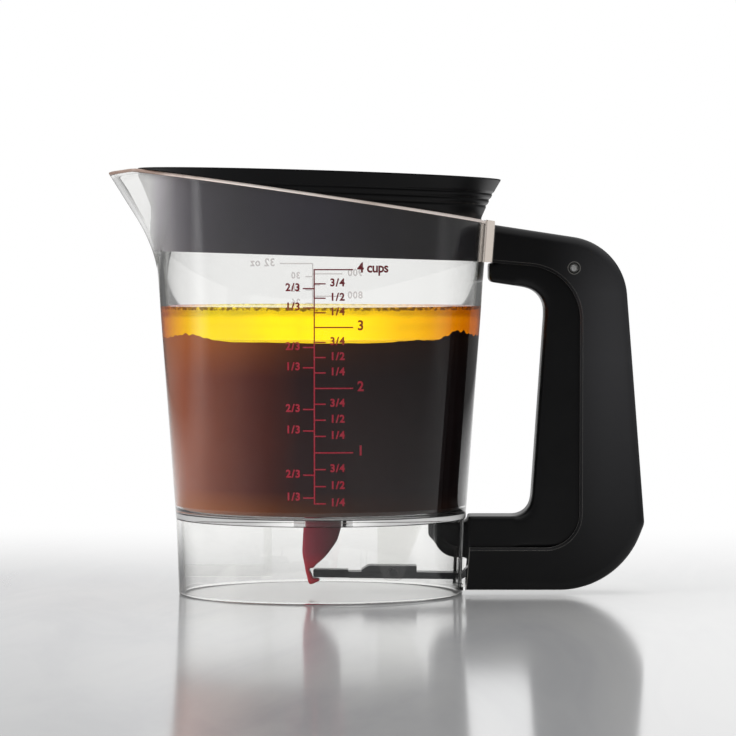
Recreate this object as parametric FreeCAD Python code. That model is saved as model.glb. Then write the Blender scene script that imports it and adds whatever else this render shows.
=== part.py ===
import FreeCAD, Part
import math
import os

# A gravy fat separator. A squeeze of the trigger in the handle rocks a lever under the raised
# floor, and the lever's tip lifts a silicone stopper, so that the gravy under the fat drains
# away from the bottom. Millimetres. Z is up, X runs from the spout (-X) to the handle (+X),
# and the origin is the centre of the foot ring on the surface that the jug stands on.

# Jug: a tapered measuring vessel
floor_top_z = 31.2
floor_t = 2.3
jug_wall = 2.3
bore_r_at_floor = 53.45
bore_slope = 0.0731  # growth of the bore's radius for each millimetre of height

# Base skirt under the floor
foot_r = 54.5
skirt_wall = 1.9
skirt_slope = 0.034
slot_low_z = 3.0
slot_side_gap = 1.0
web_t = 1.8
web_h = 4.5
post_x = -18.9
post_w = 3.0

# Rim: a cut that falls towards the handle, level at the spout
rim_z_on_axis = 152.1
rim_fall = 0.1475
lip_start_x = -71.5
lip_z = 162.5
lip_droop = 0.11

# Spout: its nose leans out of the round body by spout_lean for each millimetre of height. The
# wall bends into that lean from spout_ease below spout_bend_z to spout_ease above it.
spout_lean = 0.555
spout_bend_z = 132.0
spout_ease = 11.9
spout_cuts = (-0.9, -0.3, 0.3, 1)  # where its sections lie through the bend, in eases
nose_r_low = 21.6
nose_r_top = 9.0
tangent_cover = 0.02  # the spout's sides start this far outside the round body, so that the two always meet

# Drain and stopper
drain_x = 0.6
drain_r = 7.3
stopper_head_r = 10.2
stopper_head_t = 2.0
stopper_edge = 0.7
stopper_knob_r = 3.6
stopper_knob_h = 2.4
stopper_blade_t = 8.0
stopper_hook_t = 2.7  # what lies under the lever's tip
stopper_neck_h = 2.4  # how far below the floor the tail stays narrow enough for the drain

# Lever under the floor
lever_pivot_x = 27.7
lever_pivot_z = 8.3
lever_pin_r = 1.5
lever_w = 9.0
lever_tip_w = 6.8
lever_tip_x = -2.9
lever_low = 2.0  # from the pivot down to the underside of the blade
lever_high = 1.1  # and up to its top
lever_hump = 2.6
lever_ramp_round = 2.5
lever_arm_w = 5.0
lever_arm_t = 3.6
peg_x = 68.0
peg_z = 10.3
peg_r = 1.2
ear_t = 1.8
ear_r = 3.4
ear_reach_in = 6.0
ear_reach_out = 11.8

# Grip: two black shells round a clear frame
handle_w = 26.0
shell_wall = 2.4
shell_floor_t = 1.5
shell_round = 3.5
seam_edge = 1.0
sole_z = 1.9
grip_top_z = 141.2
shoulder_x = 115.4
shoulder_z = 133.7
shoulder_round = 24.0
back_x = 123.6
back_low_z = 27.3
back_round = 5.0
heel_x = 113.4
heel_round = 33.0
seam_x = 98.9
seam_top_z = 126.8
seam_top_round = 20.5
seam_low_z = 18.2
seam_low_round = 13.0
shell_start_top_x = 66.4
shell_start_low_x = 55.5
frame_t = 1.3
frame_w = 17.0
frame_top_z = 112.0
flange_inset = 1.5  # how much narrower than the grip its clear flanges are
sill_h = 12.3
sill_reach = 5.5

# Trigger
side_gap = 0.6
trigger_wall = 2.4
trigger_back_x = 105.0
trigger_top_z = 131.2
finger_top_x = 86.1
finger_top_z = 116.2
finger_low_x = 80.1
finger_low_z = 30.1
foot_tip_x = 43.2
foot_top_z = 27.6
foot_low_z = 14.2
foot_w = 16.8
foot_rib_t = 4.0
foot_rib_h = 2.0
window_h = 30.0
fork_low = 2.6
fork_arm = 12.0

# Trigger pivot and return spring
trigger_pin_x = 96.5
trigger_pin_z = 124.8
trigger_pin_r = 1.5
pin_recess_r = 2.3
pin_recess_depth = 1.2
hub_r = 5.0
spring_z = 70.0
spring_r = 3.4
spring_wire_r = 0.45
spring_turns = 4
spring_steps = 10
spigot_r = 2.4
spigot_h = 2.5

# Strainer lid
lid_tilt_deg = 1.8
lid_axis_x = -0.8
lid_wall = 2.0
lid_top_r = 69.7
lid_stand = 8.6  # how far the lid's top stands above the rim on the axis
lid_h = 31.4
lid_flare = 7.1  # how much wider the lid's top is than its neck
lid_flare_h = 14.7
lid_seat_r = 37.8
lid_seat_h = 6.7  # from the lid's lower edge up to the strainer's seat
lid_ledge = 5.3
funnel_h = 20.2  # from the lid's lower edge up to where the funnel's floor meets its wall
strainer_gap = 0.5
strainer_drop = 4.6
strainer_t = 1.6
strainer_lip = 1.2
strainer_hole_r = 1.8
strainer_pitch = 8.4

# Clearances
moving_gap = 0.35
fixed_gap = 0.05
pin_gap = 0.05

# What the sizes above give
form_top_z = max(lip_z, rim_z_on_axis - rim_fall * lip_start_x) + jug_wall + 4.2
floor_low_z = floor_top_z - floor_t
lid_top_z = rim_z_on_axis + lid_stand
lid_skirt_z = lid_top_z - lid_h
lid_seat_z = lid_skirt_z + lid_seat_h
lid_neck_r = lid_top_r - lid_flare
strainer_r = lid_seat_r - lid_ledge - strainer_gap
handle_half = handle_w / 2
flange_half = handle_half - flange_inset
trigger_half = handle_half - shell_wall - side_gap
slot_half = foot_w / 2 + slot_side_gap
peg_half = trigger_half - side_gap
lever_low_z = lever_pivot_z - lever_low
lever_top_z = lever_pivot_z + lever_high
ear_gap_half = lever_w / 2 + 0.5
far = 200


def vec(x, y, z):
    return FreeCAD.Vector(x, y, z)


def bore_r(z):
    """Radius of the jug's bore at a height."""
    return bore_r_at_floor + bore_slope * (z - floor_top_z)


def body_r(z):
    """Outer radius of the jug's round body at a height."""
    return bore_r(z) + jug_wall


def skirt_cone(inset):
    """The base skirt's outside as a solid, drawn in by inset, from the foot to the floor."""
    return Part.makeCone(foot_r - inset, foot_r + skirt_slope * floor_low_z - inset, floor_low_z)


def rounded_face(corners):
    """A face in the XZ plane from corners (x, z) or (x, z, radius), rounded where a radius is given."""
    edges = []
    count = len(corners)
    starts = []
    ends = []
    arcs = []
    for i, corner in enumerate(corners):
        here = vec(corner[0], 0, corner[1])
        before = corners[i - 1]
        after = corners[(i + 1) % count]
        radius = corner[2] if len(corner) > 2 else 0
        if not radius:
            starts.append(here)
            ends.append(here)
            arcs.append(None)
            continue
        back = (vec(before[0], 0, before[1]) - here).normalize()
        ahead = (vec(after[0], 0, after[1]) - here).normalize()
        half = back.getAngle(ahead) / 2
        reach = radius / math.tan(half)
        middle = (back + ahead).normalize()
        nearest = here + middle * (radius / math.sin(half) - radius)
        starts.append(here + back * reach)
        ends.append(here + ahead * reach)
        arcs.append(nearest)
    for i in range(count):
        if arcs[i] is not None:
            edges.append(Part.Arc(starts[i], arcs[i], ends[i]).toShape())
        leave = ends[i]
        arrive = starts[(i + 1) % count]
        if leave.distanceToPoint(arrive) > 1e-4:
            edges.append(Part.LineSegment(leave, arrive).toShape())
    return Part.Face(Part.Wire(edges))


def plate(face, y_low, y_high):
    """A face in the XZ plane pushed along Y from y_low to y_high."""
    moved = face.copy()
    moved.translate(vec(0, y_low, 0))
    return moved.extrude(vec(0, y_high - y_low, 0))


def slab(face, half):
    """A face in the XZ plane as a plate with its middle on the plane Y = 0."""
    return plate(face, -half, half)


def box(x_low, x_high, y_low, y_high, z_low, z_high):
    return Part.makeBox(x_high - x_low, y_high - y_low, z_high - z_low, vec(x_low, y_low, z_low))


def sides_beyond(half, x_low, x_high):
    """The two blocks that lie further out than half to each side, between two X values."""
    return box(x_low, x_high, half, far, -far, far).fuse(box(x_low, x_high, -far, -half, -far, far))


def cylinder_y(radius, x, z, y_low, y_high):
    """A round bar along Y."""
    return Part.makeCylinder(radius, y_high - y_low, vec(x, y_low, z), vec(0, 1, 0))


def revolve(points):
    """A solid of revolution about Z from (r, z) points."""
    wire = Part.makePolygon([vec(r, 0, z) for r, z in points] + [vec(points[0][0], 0, points[0][1])])
    return Part.Face(wire).revolve(vec(0, 0, 0), vec(0, 0, 1), 360)


def at_y(edge, y):
    """True where an edge lies wholly in the plane of a given Y."""
    return all(abs(v.Point.y - y) < 1e-4 for v in edge.Vertexes) and abs(edge.CenterOfMass.y - y) < 1e-4


def spout_reach(z):
    """How far the spout's nose stands out of the round body at a height."""
    over = z - spout_bend_z
    if over >= spout_ease:
        return spout_lean * over
    return spout_lean * (over + spout_ease) ** 2 / (4 * spout_ease)


def spout_section(z, inset):
    """The spout's section at a height: a rounded nose with sides that run tangent to the round body."""
    radius = body_r(z) - inset + tangent_cover
    start_z = spout_bend_z - spout_ease
    share = (z - start_z) / (form_top_z - start_z)
    nose = nose_r_low + (nose_r_top - nose_r_low) * share - inset
    reach = radius + spout_reach(z) - nose
    angle = math.acos((radius - nose) / reach)
    side_x = -radius * math.cos(angle)
    side_y = radius * math.sin(angle)
    nose_x = -reach - nose * math.cos(angle)
    nose_y = nose * math.sin(angle)
    return Part.Wire([
        Part.LineSegment(vec(side_x, side_y, z), vec(nose_x, nose_y, z)).toShape(),
        Part.Arc(vec(nose_x, nose_y, z), vec(-reach - nose, 0, z), vec(nose_x, -nose_y, z)).toShape(),
        Part.LineSegment(vec(nose_x, -nose_y, z), vec(side_x, -side_y, z)).toShape(),
        Part.LineSegment(vec(side_x, -side_y, z), vec(side_x, side_y, z)).toShape(),
    ])


def jug_form(inset, z_low):
    """The jug's round body with its spout, drawn in by inset all round, from z_low upwards."""
    low_r = body_r(z_low) - inset
    high_r = body_r(form_top_z) - inset
    cone = Part.makeCone(low_r, high_r, form_top_z - z_low, vec(0, 0, z_low))
    heights = [spout_bend_z + cut * spout_ease for cut in spout_cuts] + [form_top_z]
    return cone.fuse(Part.makeLoft([spout_section(z, inset) for z in heights], True, True))


def above_rim(raise_by):
    """All that lies higher than the jug's rim plus raise_by."""
    handle_side_z = rim_z_on_axis - rim_fall * far + raise_by
    lip_corner_z = min(rim_z_on_axis - rim_fall * lip_start_x, lip_z) + raise_by
    corners = [
        (far, handle_side_z),
        ((rim_z_on_axis + raise_by - lip_corner_z) / rim_fall, lip_corner_z),
        (lip_start_x, lip_corner_z),
        (lip_start_x - far, lip_corner_z - lip_droop * far),
        (lip_start_x - far, 3 * far),
        (far, 3 * far),
    ]
    return slab(rounded_face(corners), far)


# ---- Jug ----


def jug_vessel():
    """The clear measuring vessel: tapered wall, sloping rim, spout, floor and drain hole."""
    outside = jug_form(0, floor_low_z)
    inside = jug_form(jug_wall, floor_top_z)
    drain = Part.makeCylinder(drain_r, 3 * floor_t, vec(drain_x, 0, floor_low_z - floor_t))
    return outside.cut(inside).cut(drain).cut(above_rim(0))


def base_skirt():
    """The clear ring that the jug stands on, open under the floor, with its slot for the trigger's foot."""
    slot = box(foot_r / 2, far, -slot_half, slot_half, slot_low_z, floor_top_z)
    post = box(post_x - post_w, post_x, -post_w / 2, post_w / 2, lever_low_z, floor_low_z)
    web = box(-foot_r, post_x, -web_t / 2, web_t / 2, lever_low_z, lever_low_z + web_h)
    ribs = post.fuse(web).common(skirt_cone(skirt_wall / 2))
    return skirt_cone(0).cut(skirt_cone(skirt_wall)).cut(slot).fuse(ribs).removeSplitter()


def lever_bracket():
    """The clear pair of ears under the floor that carries the lever's pin."""
    root_start_x = lever_pivot_x - ear_reach_in
    root_end_x = lever_pivot_x + ear_reach_out
    tip_z = lever_pivot_z - ear_r * 0.85
    ear = rounded_face([
        (root_start_x, floor_low_z), (root_end_x, floor_low_z),
        (lever_pivot_x + ear_r * 1.85, lever_pivot_z + ear_r * 1.7),
        (lever_pivot_x + ear_r, tip_z, ear_r * 0.75), (lever_pivot_x - ear_r, tip_z, ear_r * 0.75),
        (root_start_x, lever_pivot_z + ear_r * 1.1),
    ])
    outer = ear_gap_half + ear_t
    bridge = box(root_start_x, root_end_x, -outer, outer, floor_low_z - ear_t, floor_low_z)
    pin_hole = cylinder_y(lever_pin_r, lever_pivot_x, lever_pivot_z, -far, far)
    ears = [plate(ear, -outer, -ear_gap_half), plate(ear, ear_gap_half, outer)]
    return bridge.fuse(ears).cut(pin_hole).removeSplitter()


# ---- Handle ----


def grip_face(inset):
    """The outside of the grip seen from the side, drawn in by inset."""
    outline = rounded_face([
        (shell_start_top_x, grip_top_z),
        (shoulder_x, shoulder_z, shoulder_round),
        (back_x, back_low_z, back_round),
        (heel_x, sole_z, heel_round),
        (shell_start_low_x, sole_z),
    ])
    return outline.makeOffset2D(-inset) if inset else outline


def seam_face():
    """What lies on the jug's side of the line where the trigger comes out of the grip."""
    jug_side_x = bore_r_at_floor / 2
    return rounded_face([
        (jug_side_x, seam_top_z + 1.5), (shell_start_top_x, seam_top_z),
        (seam_x, seam_top_z - 2.9, seam_top_round), (seam_x - 0.2, seam_low_z, seam_low_round),
        (jug_side_x, seam_low_z),
    ])


def on_seam(edge):
    """True for the grip's side edges along the seam with the trigger."""
    middle = edge.CenterOfMass
    in_x = shell_start_low_x + 1 < middle.x < seam_x + 0.5
    return in_x and seam_low_z - 1 < middle.z < seam_top_z + 1


def strap(inset, half, loose):
    """The clear strap that runs under the grip and up its back, grown by loose on its inner side and ends."""
    band = slab(grip_face(0), half).cut(slab(grip_face(inset), half + 1))
    not_below = box(-far, finger_low_x, -far, far, sole_z + inset, far)
    above = box(-far, far, -far, far, frame_top_z + loose, far)
    return band.cut([not_below, above])


def handle_frame():
    """The clear C-shaped frame: a strap round the grip and the sill that joins it to the skirt."""
    half = frame_w / 2
    wall_x = shell_start_low_x - fixed_gap
    sill = box(wall_x - sill_reach, wall_x, -flange_half, flange_half, sole_z, sole_z + sill_h)
    window = box(0, far, -trigger_half - moving_gap, trigger_half + moving_gap, sole_z + frame_t, far)
    join = box(wall_x - 0.5, wall_x + 1, -half, half, sole_z, sole_z + frame_t)
    return strap(frame_t, half, 0).fuse([sill.cut(window), join]).cut(skirt_cone(-fixed_gap)).removeSplitter()


def handle_flange():
    """The clear block between the jug's wall and the top of the grip."""
    block = box(bore_r_at_floor, shell_start_top_x, -flange_half, flange_half, seam_top_z + 0.2, form_top_z)
    grip = slab(grip_face(-fixed_gap), handle_half)
    return block.cut(jug_form(-fixed_gap, floor_top_z)).cut(above_rim(moving_gap)).cut(grip)


def handle_shell(side):
    """One black half of the grip, side -1 near or +1 far: a tray that the trigger slides into."""
    inner_half = handle_half - shell_wall
    body = plate(grip_face(0), 0, handle_half)
    outer_edges = [e for e in body.Edges if at_y(e, handle_half) and e.CenterOfMass.x > shell_start_top_x + 1]
    body = body.makeFillet(shell_round, outer_edges)
    body = body.cut(plate(seam_face(), -1, handle_half + 1))
    body = body.makeChamfer(seam_edge, [e for e in body.Edges if at_y(e, handle_half) and on_seam(e)])
    mouth_z = sole_z + frame_t + shell_floor_t
    pocket = plate(grip_face(shell_wall + frame_t), -1, inner_half)
    low_mouth = box(0, seam_x - seam_low_round, -1, inner_half, mouth_z, seam_low_z + 0.1)
    top_mouth = box(0, shell_start_top_x + 5.6, -1, inner_half, seam_top_z - 7, trigger_top_z + 0.4)
    groove = strap(frame_t + fixed_gap, frame_w / 2 + fixed_gap, fixed_gap)
    pin_hole = cylinder_y(trigger_pin_r, trigger_pin_x, trigger_pin_z, -1, handle_half + 1)
    recess_y = handle_half - pin_recess_depth
    recess = cylinder_y(pin_recess_r, trigger_pin_x, trigger_pin_z, recess_y, handle_half + 1)
    body = body.cut([pocket, low_mouth, top_mouth, groove, pin_hole, recess])
    if side < 0:
        body = body.mirror(vec(0, 0, 0), vec(0, 1, 0))
    return body


# ---- Trigger ----


def trigger_face():
    """The trigger seen from the side: finger face, arms, and the foot that reaches into the base."""
    head_x = shell_start_top_x - 2.2
    head_z = seam_top_z - 0.2
    root_x = shell_start_low_x + 0.7
    return rounded_face([
        (head_x, finger_top_z + 3.3, 1.5), (finger_top_x, finger_top_z, 9), (finger_low_x, finger_low_z, 7),
        (root_x + 0.2, finger_low_z), (root_x, foot_top_z), (foot_tip_x, foot_top_z, 1),
        (foot_tip_x, foot_low_z, 8.5), (root_x, foot_low_z), (root_x + 3.8, seam_low_z - 1.6),
        (trigger_back_x - 0.4, seam_low_z - 1, 12), (trigger_back_x, trigger_top_z, 8),
        (shell_start_top_x + 0.5, trigger_top_z, 1), (shell_start_top_x + 0.5, head_z), (head_x, head_z),
    ])


def trigger():
    """The black squeeze piece: a hollow moulding with a foot in the base and a fork for the lever's pegs."""
    inner_half = trigger_half - trigger_wall
    outside = slab(trigger_face(), trigger_half).cut(sides_beyond(foot_w / 2, 0, shell_start_low_x + 0.7))
    hollow = slab(trigger_face().makeOffset2D(-trigger_wall), inner_half)
    window_x = trigger_back_x - 2 * trigger_wall
    low_z = finger_low_z - trigger_wall
    high_z = finger_top_z - window_h - trigger_wall
    windows = [box(window_x, far, -inner_half, inner_half, z, z + window_h) for z in (low_z, high_z)]
    rib_x = foot_tip_x - foot_rib_h
    rib = rounded_face([
        (rib_x, foot_top_z, 1), (foot_tip_x + 2, foot_top_z), (foot_tip_x + 2, foot_low_z + 4),
        (rib_x, foot_low_z + 8, 2),
    ])
    fork_low_z = peg_z - fork_low
    fork = rounded_face([
        (peg_x - fork_arm, fork_low_z + 0.5, 0.4), (peg_x + 5, fork_low_z - 0.5, 1.5),
        (peg_x + 7, seam_low_z - 0.2), (peg_x - fork_arm + 2, seam_low_z - 0.2),
        (peg_x - fork_arm, foot_low_z + 1),
    ])
    cheeks = [plate(fork, -trigger_half, -inner_half), plate(fork, inner_half, trigger_half)]
    hub = cylinder_y(hub_r, trigger_pin_x, trigger_pin_z, -trigger_half, trigger_half)
    spigot_base = vec(trigger_back_x - trigger_wall, 0, spring_z)
    spigot = Part.makeCylinder(spigot_r, spigot_h + trigger_wall, spigot_base, vec(1, 0, 0))
    body = outside.cut([hollow] + windows).fuse([slab(rib, foot_rib_t / 2), hub, spigot] + cheeks)
    slot_r = peg_r + moving_gap
    slot = box(peg_x - fork_arm - 1, peg_x, -far, far, peg_z - slot_r, peg_z + slot_r + moving_gap)
    slot_end = cylinder_y(slot_r, peg_x, peg_z, -far, far)
    bore = cylinder_y(trigger_pin_r + pin_gap, trigger_pin_x, trigger_pin_z, -far, far)
    return body.cut([slot, slot_end, bore])


def trigger_pin():
    reach = handle_half - pin_recess_depth
    return cylinder_y(trigger_pin_r, trigger_pin_x, trigger_pin_z, -reach, reach)


def trigger_spring():
    """The compression spring between the trigger's back wall and the back of the grip."""
    back_share = (shoulder_z - spring_z) / (shoulder_z - back_low_z)
    wall_x = shoulder_x + (back_x - shoulder_x) * back_share - shell_wall - frame_t
    start_x = trigger_back_x + moving_gap + spring_wire_r
    end_x = wall_x - 2 * moving_gap - spring_wire_r
    steps = spring_turns * spring_steps
    wires = []
    for i in range(steps + 1):
        turn = 2 * math.pi * i / spring_steps
        along_x = start_x + (end_x - start_x) * i / steps
        corners = []
        for high, out in ((-1, -1), (1, -1), (1, 1), (-1, 1), (-1, -1)):
            r = spring_r + out * spring_wire_r * 0.8
            across = (r * math.cos(turn), spring_z + r * math.sin(turn))
            corners.append(vec(along_x + high * spring_wire_r * 0.8, across[0], across[1]))
        wires.append(Part.makePolygon(corners))
    return Part.makeLoft(wires, True, True)


# ---- Lever and stopper ----


def lever():
    """The dark lever: a flat blade with a hump over its pivot, raised in the handle to its cross pegs."""
    half = lever_w / 2
    hump_z = lever_pivot_z + lever_hump
    arm_x = shell_start_low_x - 1.5
    arm_half = lever_arm_t / 2
    blade = rounded_face([
        (lever_tip_x, lever_top_z, 0.8), (lever_pivot_x - 12.1, lever_top_z - 0.3, lever_ramp_round),
        (lever_pivot_x - 9.4, hump_z, lever_ramp_round), (lever_pivot_x + 9, hump_z - 0.2),
        (lever_pivot_x + 9, lever_pivot_z),
        (arm_x, lever_pivot_z - 0.3), (arm_x + 4, peg_z + arm_half - 0.4),
        (peg_x, peg_z + arm_half - 0.1, 1.2),
        (peg_x + arm_half, peg_z - arm_half, 1.2), (arm_x + 5, peg_z - arm_half - 0.1),
        (arm_x, lever_low_z - 0.7), (lever_tip_x, lever_low_z, 0.8),
    ])
    groove_x = lever_pivot_x - 17.2
    groove = box(groove_x, groove_x + 5.1, -far, far, lever_top_z - 0.9, far)
    bore = cylinder_y(lever_pin_r + pin_gap, lever_pivot_x, lever_pivot_z, -far, far)
    pegs = cylinder_y(peg_r, peg_x, peg_z, -peg_half, peg_half)
    arm_sides = sides_beyond(lever_arm_w / 2, arm_x + 3, far)
    tip_sides = sides_beyond(lever_tip_w / 2, -far, groove_x + 0.5)
    return slab(blade, half).cut([arm_sides, tip_sides, groove]).fuse(pegs).cut(bore)


def lever_pin():
    reach = ear_gap_half + ear_t
    return cylinder_y(lever_pin_r, lever_pivot_x, lever_pivot_z, -reach, reach)


def stopper():
    """The red silicone stopper: a sealing head over the drain and a flat tail that takes the lever's tip."""
    head_z = floor_top_z + moving_gap
    top_z = head_z + stopper_head_t
    head = Part.makeCylinder(stopper_head_r, stopper_head_t, vec(drain_x, 0, head_z))
    head = head.makeChamfer(stopper_edge, [e for e in head.Edges if abs(e.CenterOfMass.z - top_z) < 1e-4])
    knob = Part.makeCylinder(stopper_knob_r, stopper_knob_h, vec(drain_x, 0, top_z))
    x = drain_x
    slot_low_z = lever_low_z - moving_gap - 0.2
    hook_z = slot_low_z - stopper_hook_t
    heel_x = lever_tip_x - 1.7
    tail = rounded_face([
        (x - 6.9, head_z + 0.5), (x - 7.8, 15.5, 12), (heel_x, hook_z, 1), (heel_x + 4.4, hook_z + 1.9, 0.6),
        (heel_x + 4.7, slot_low_z + 0.2), (heel_x + 4.7, lever_top_z + 0.8), (x + 2, 15, 8),
        (x + 5.8, 20.5, 8),
        (x + 7.3, 25.8), (x + 7.3, head_z + 0.5),
    ])
    slot = box(lever_tip_x - moving_gap, far, -far, far, slot_low_z, lever_top_z + moving_gap)
    hole_zone = Part.makeCylinder(far, far, vec(drain_x, 0, floor_low_z - stopper_neck_h))
    hole_zone = hole_zone.cut(Part.makeCylinder(drain_r - moving_gap, 3 * far, vec(drain_x, 0, -far)))
    blade = slab(tail, stopper_blade_t / 2).cut([hole_zone, slot])
    return head.fuse([knob, blade]).removeSplitter()


# ---- Strainer lid ----


def tilted(solid):
    """Leans a lid solid towards the handle, as the lid sits in the sloping rim."""
    solid.translate(vec(lid_axis_x, 0, 0))
    solid.rotate(vec(0, 0, rim_z_on_axis), vec(0, 1, 0), lid_tilt_deg)
    return solid


def lid_form(inset):
    """The lid's flared outside, drawn in by inset, kept inside the jug below the rim."""
    over = lid_h if inset else 0
    neck_r = lid_neck_r - inset
    neck_z = lid_top_z - lid_flare_h
    flare = [
        (0, lid_skirt_z - over), (neck_r, lid_skirt_z - over), (neck_r, neck_z),
        (neck_r + lid_flare * 0.34, neck_z + lid_flare_h * 0.42),
        (neck_r + lid_flare * 0.78, neck_z + lid_flare_h * 0.75),
        (lid_top_r - inset, lid_top_z), (lid_top_r - inset, lid_top_z + over), (0, lid_top_z + over),
    ]
    if not inset:
        flare.pop(-2)
    room = jug_form(jug_wall + moving_gap + inset, floor_top_z).fuse(above_rim(moving_gap + inset))
    return tilted(revolve(flare)).common(room)


def lid_collar():
    """The black funnel of the lid: flared wall, ledge over the rim, skirt and sloping funnel floor."""
    ledge_r = lid_seat_r - lid_ledge
    wide_r = (lid_neck_r + lid_top_r) / 2
    funnel_z = lid_skirt_z + funnel_h
    funnel = tilted(revolve([
        (ledge_r, lid_seat_z), (lid_seat_r, lid_seat_z), (wide_r, funnel_z), (wide_r, funnel_z - lid_wall),
        (lid_seat_r, lid_seat_z - lid_wall), (ledge_r, lid_seat_z - lid_wall),
    ]))
    outside = lid_form(0)
    return outside.cut(lid_form(lid_wall)).fuse(funnel.common(outside)).removeSplitter()


def hexagon_bar(radius, x, y, z_low, z_high):
    """An upright six-sided bar."""
    ring = []
    for k in range(7):
        turn = k * math.pi / 3
        ring.append(vec(x + radius * math.cos(turn), y + radius * math.sin(turn), z_low))
    return Part.Face(Part.makePolygon(ring)).extrude(vec(0, 0, z_high - z_low))


def lid_strainer():
    """The perforated basket that hangs in the lid's seat."""
    top = lid_seat_z + fixed_gap
    low = top - strainer_drop
    inner_r = strainer_r - strainer_t
    rim_r = lid_seat_r - moving_gap
    basket = revolve([
        (0, low), (strainer_r, low), (strainer_r, top), (rim_r, top), (rim_r, top + strainer_lip),
        (inner_r, top + strainer_lip), (inner_r, low + strainer_t), (0, low + strainer_t),
    ])
    pitch_y = strainer_pitch * math.sin(math.pi / 3)
    rows = int(strainer_r / pitch_y)
    holes = []
    for row in range(-rows, rows + 1):
        for column in range(-rows - 1, rows + 2):
            x = (column + (row % 2) / 2) * strainer_pitch
            y = row * pitch_y
            if math.hypot(x, y) + strainer_hole_r < inner_r - strainer_t:
                holes.append(hexagon_bar(strainer_hole_r, x, y, low - 1, low + strainer_t + 1))
    return tilted(basket.cut(holes))


PARTS = {
    "jug_vessel": jug_vessel,
    "base_skirt": base_skirt,
    "lever_bracket": lever_bracket,
    "handle_frame": handle_frame,
    "handle_flange": handle_flange,
    "handle_shell_near": lambda: handle_shell(-1),
    "handle_shell_far": lambda: handle_shell(1),
    "trigger": trigger,
    "trigger_pin": trigger_pin,
    "trigger_spring": trigger_spring,
    "lever": lever,
    "lever_pin": lever_pin,
    "stopper": stopper,
    "lid_collar": lid_collar,
    "lid_strainer": lid_strainer,
}

os.makedirs("parts", exist_ok=True)
for name, make in PARTS.items():
    shape = make()
    print(name, "valid", shape.isValid(), "solids", len(shape.Solids), "volume", round(shape.Volume, 1))
    shape.exportStep(f"parts/{name}.step")
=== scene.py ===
"""A gravy fat separator in clear plastic with a black squeeze handle and a strainer lid.

Sizes are in millimetres in the classes below and turn into metres where a mesh is made.
X runs from the spout (-X) to the handle (+X), Z is up, and the jug stands on Z = 0.
"""

import logging
import math
import random
from dataclasses import dataclass, field
from enum import Enum
from typing import Any, Callable, Sequence

import bmesh
import bpy
from bpy.types import ID, GeometryNodeTree, Material, Mesh, Node, NodeSocket, NodeTree, Object
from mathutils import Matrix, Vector

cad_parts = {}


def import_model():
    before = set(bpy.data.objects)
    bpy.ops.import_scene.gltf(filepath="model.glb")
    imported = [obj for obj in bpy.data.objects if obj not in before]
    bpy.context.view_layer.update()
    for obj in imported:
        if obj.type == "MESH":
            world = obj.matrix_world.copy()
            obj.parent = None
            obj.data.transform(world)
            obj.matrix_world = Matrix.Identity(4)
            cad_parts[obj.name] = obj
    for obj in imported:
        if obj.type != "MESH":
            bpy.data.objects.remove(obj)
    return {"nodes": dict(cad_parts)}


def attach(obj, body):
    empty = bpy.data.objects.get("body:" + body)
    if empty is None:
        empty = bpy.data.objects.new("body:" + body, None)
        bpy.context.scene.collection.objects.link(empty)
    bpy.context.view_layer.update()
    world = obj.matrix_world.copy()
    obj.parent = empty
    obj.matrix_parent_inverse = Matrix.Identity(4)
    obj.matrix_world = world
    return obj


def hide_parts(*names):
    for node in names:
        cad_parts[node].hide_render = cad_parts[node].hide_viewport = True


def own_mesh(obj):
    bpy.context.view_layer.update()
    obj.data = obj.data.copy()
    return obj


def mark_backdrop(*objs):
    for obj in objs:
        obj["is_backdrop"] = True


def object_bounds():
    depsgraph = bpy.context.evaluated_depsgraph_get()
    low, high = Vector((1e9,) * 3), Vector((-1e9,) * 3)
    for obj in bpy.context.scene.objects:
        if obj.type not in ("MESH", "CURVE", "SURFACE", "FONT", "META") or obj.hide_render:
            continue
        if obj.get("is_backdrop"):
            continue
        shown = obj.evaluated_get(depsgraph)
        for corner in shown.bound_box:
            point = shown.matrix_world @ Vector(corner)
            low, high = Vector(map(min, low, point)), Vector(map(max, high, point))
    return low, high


log = logging.getLogger("fat_separator")

MM = 0.001
US_CUP_MM3 = 236588.0
OUNCES_IN_A_CUP = 8
WHITE = (1.0, 1.0, 1.0, 1.0)
WELD = 1e-6
Point = tuple[float, float, float]
Shape = tuple[list, list]
Stops = list[tuple[float, str]]
Nodes = dict[str, Object]


class Side(Enum):
    """Which side of the jug a print is read from."""

    FRONT = -1
    BACK = 1


# ---- Colour and shader nodes ----


def linear(hex_colour: str) -> tuple[float, float, float, float]:
    """An sRGB hex colour as linear RGBA.

    Args:
        hex_colour: six hex digits after a hash.
    Returns:
        The colour.
    """
    shares = [int(hex_colour[i : i + 2], 16) / 255 for i in (1, 3, 5)]
    rgb = [s / 12.92 if s <= 0.04045 else ((s + 0.055) / 1.055) ** 2.4 for s in shares]
    return (rgb[0], rgb[1], rgb[2], 1.0)


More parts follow.
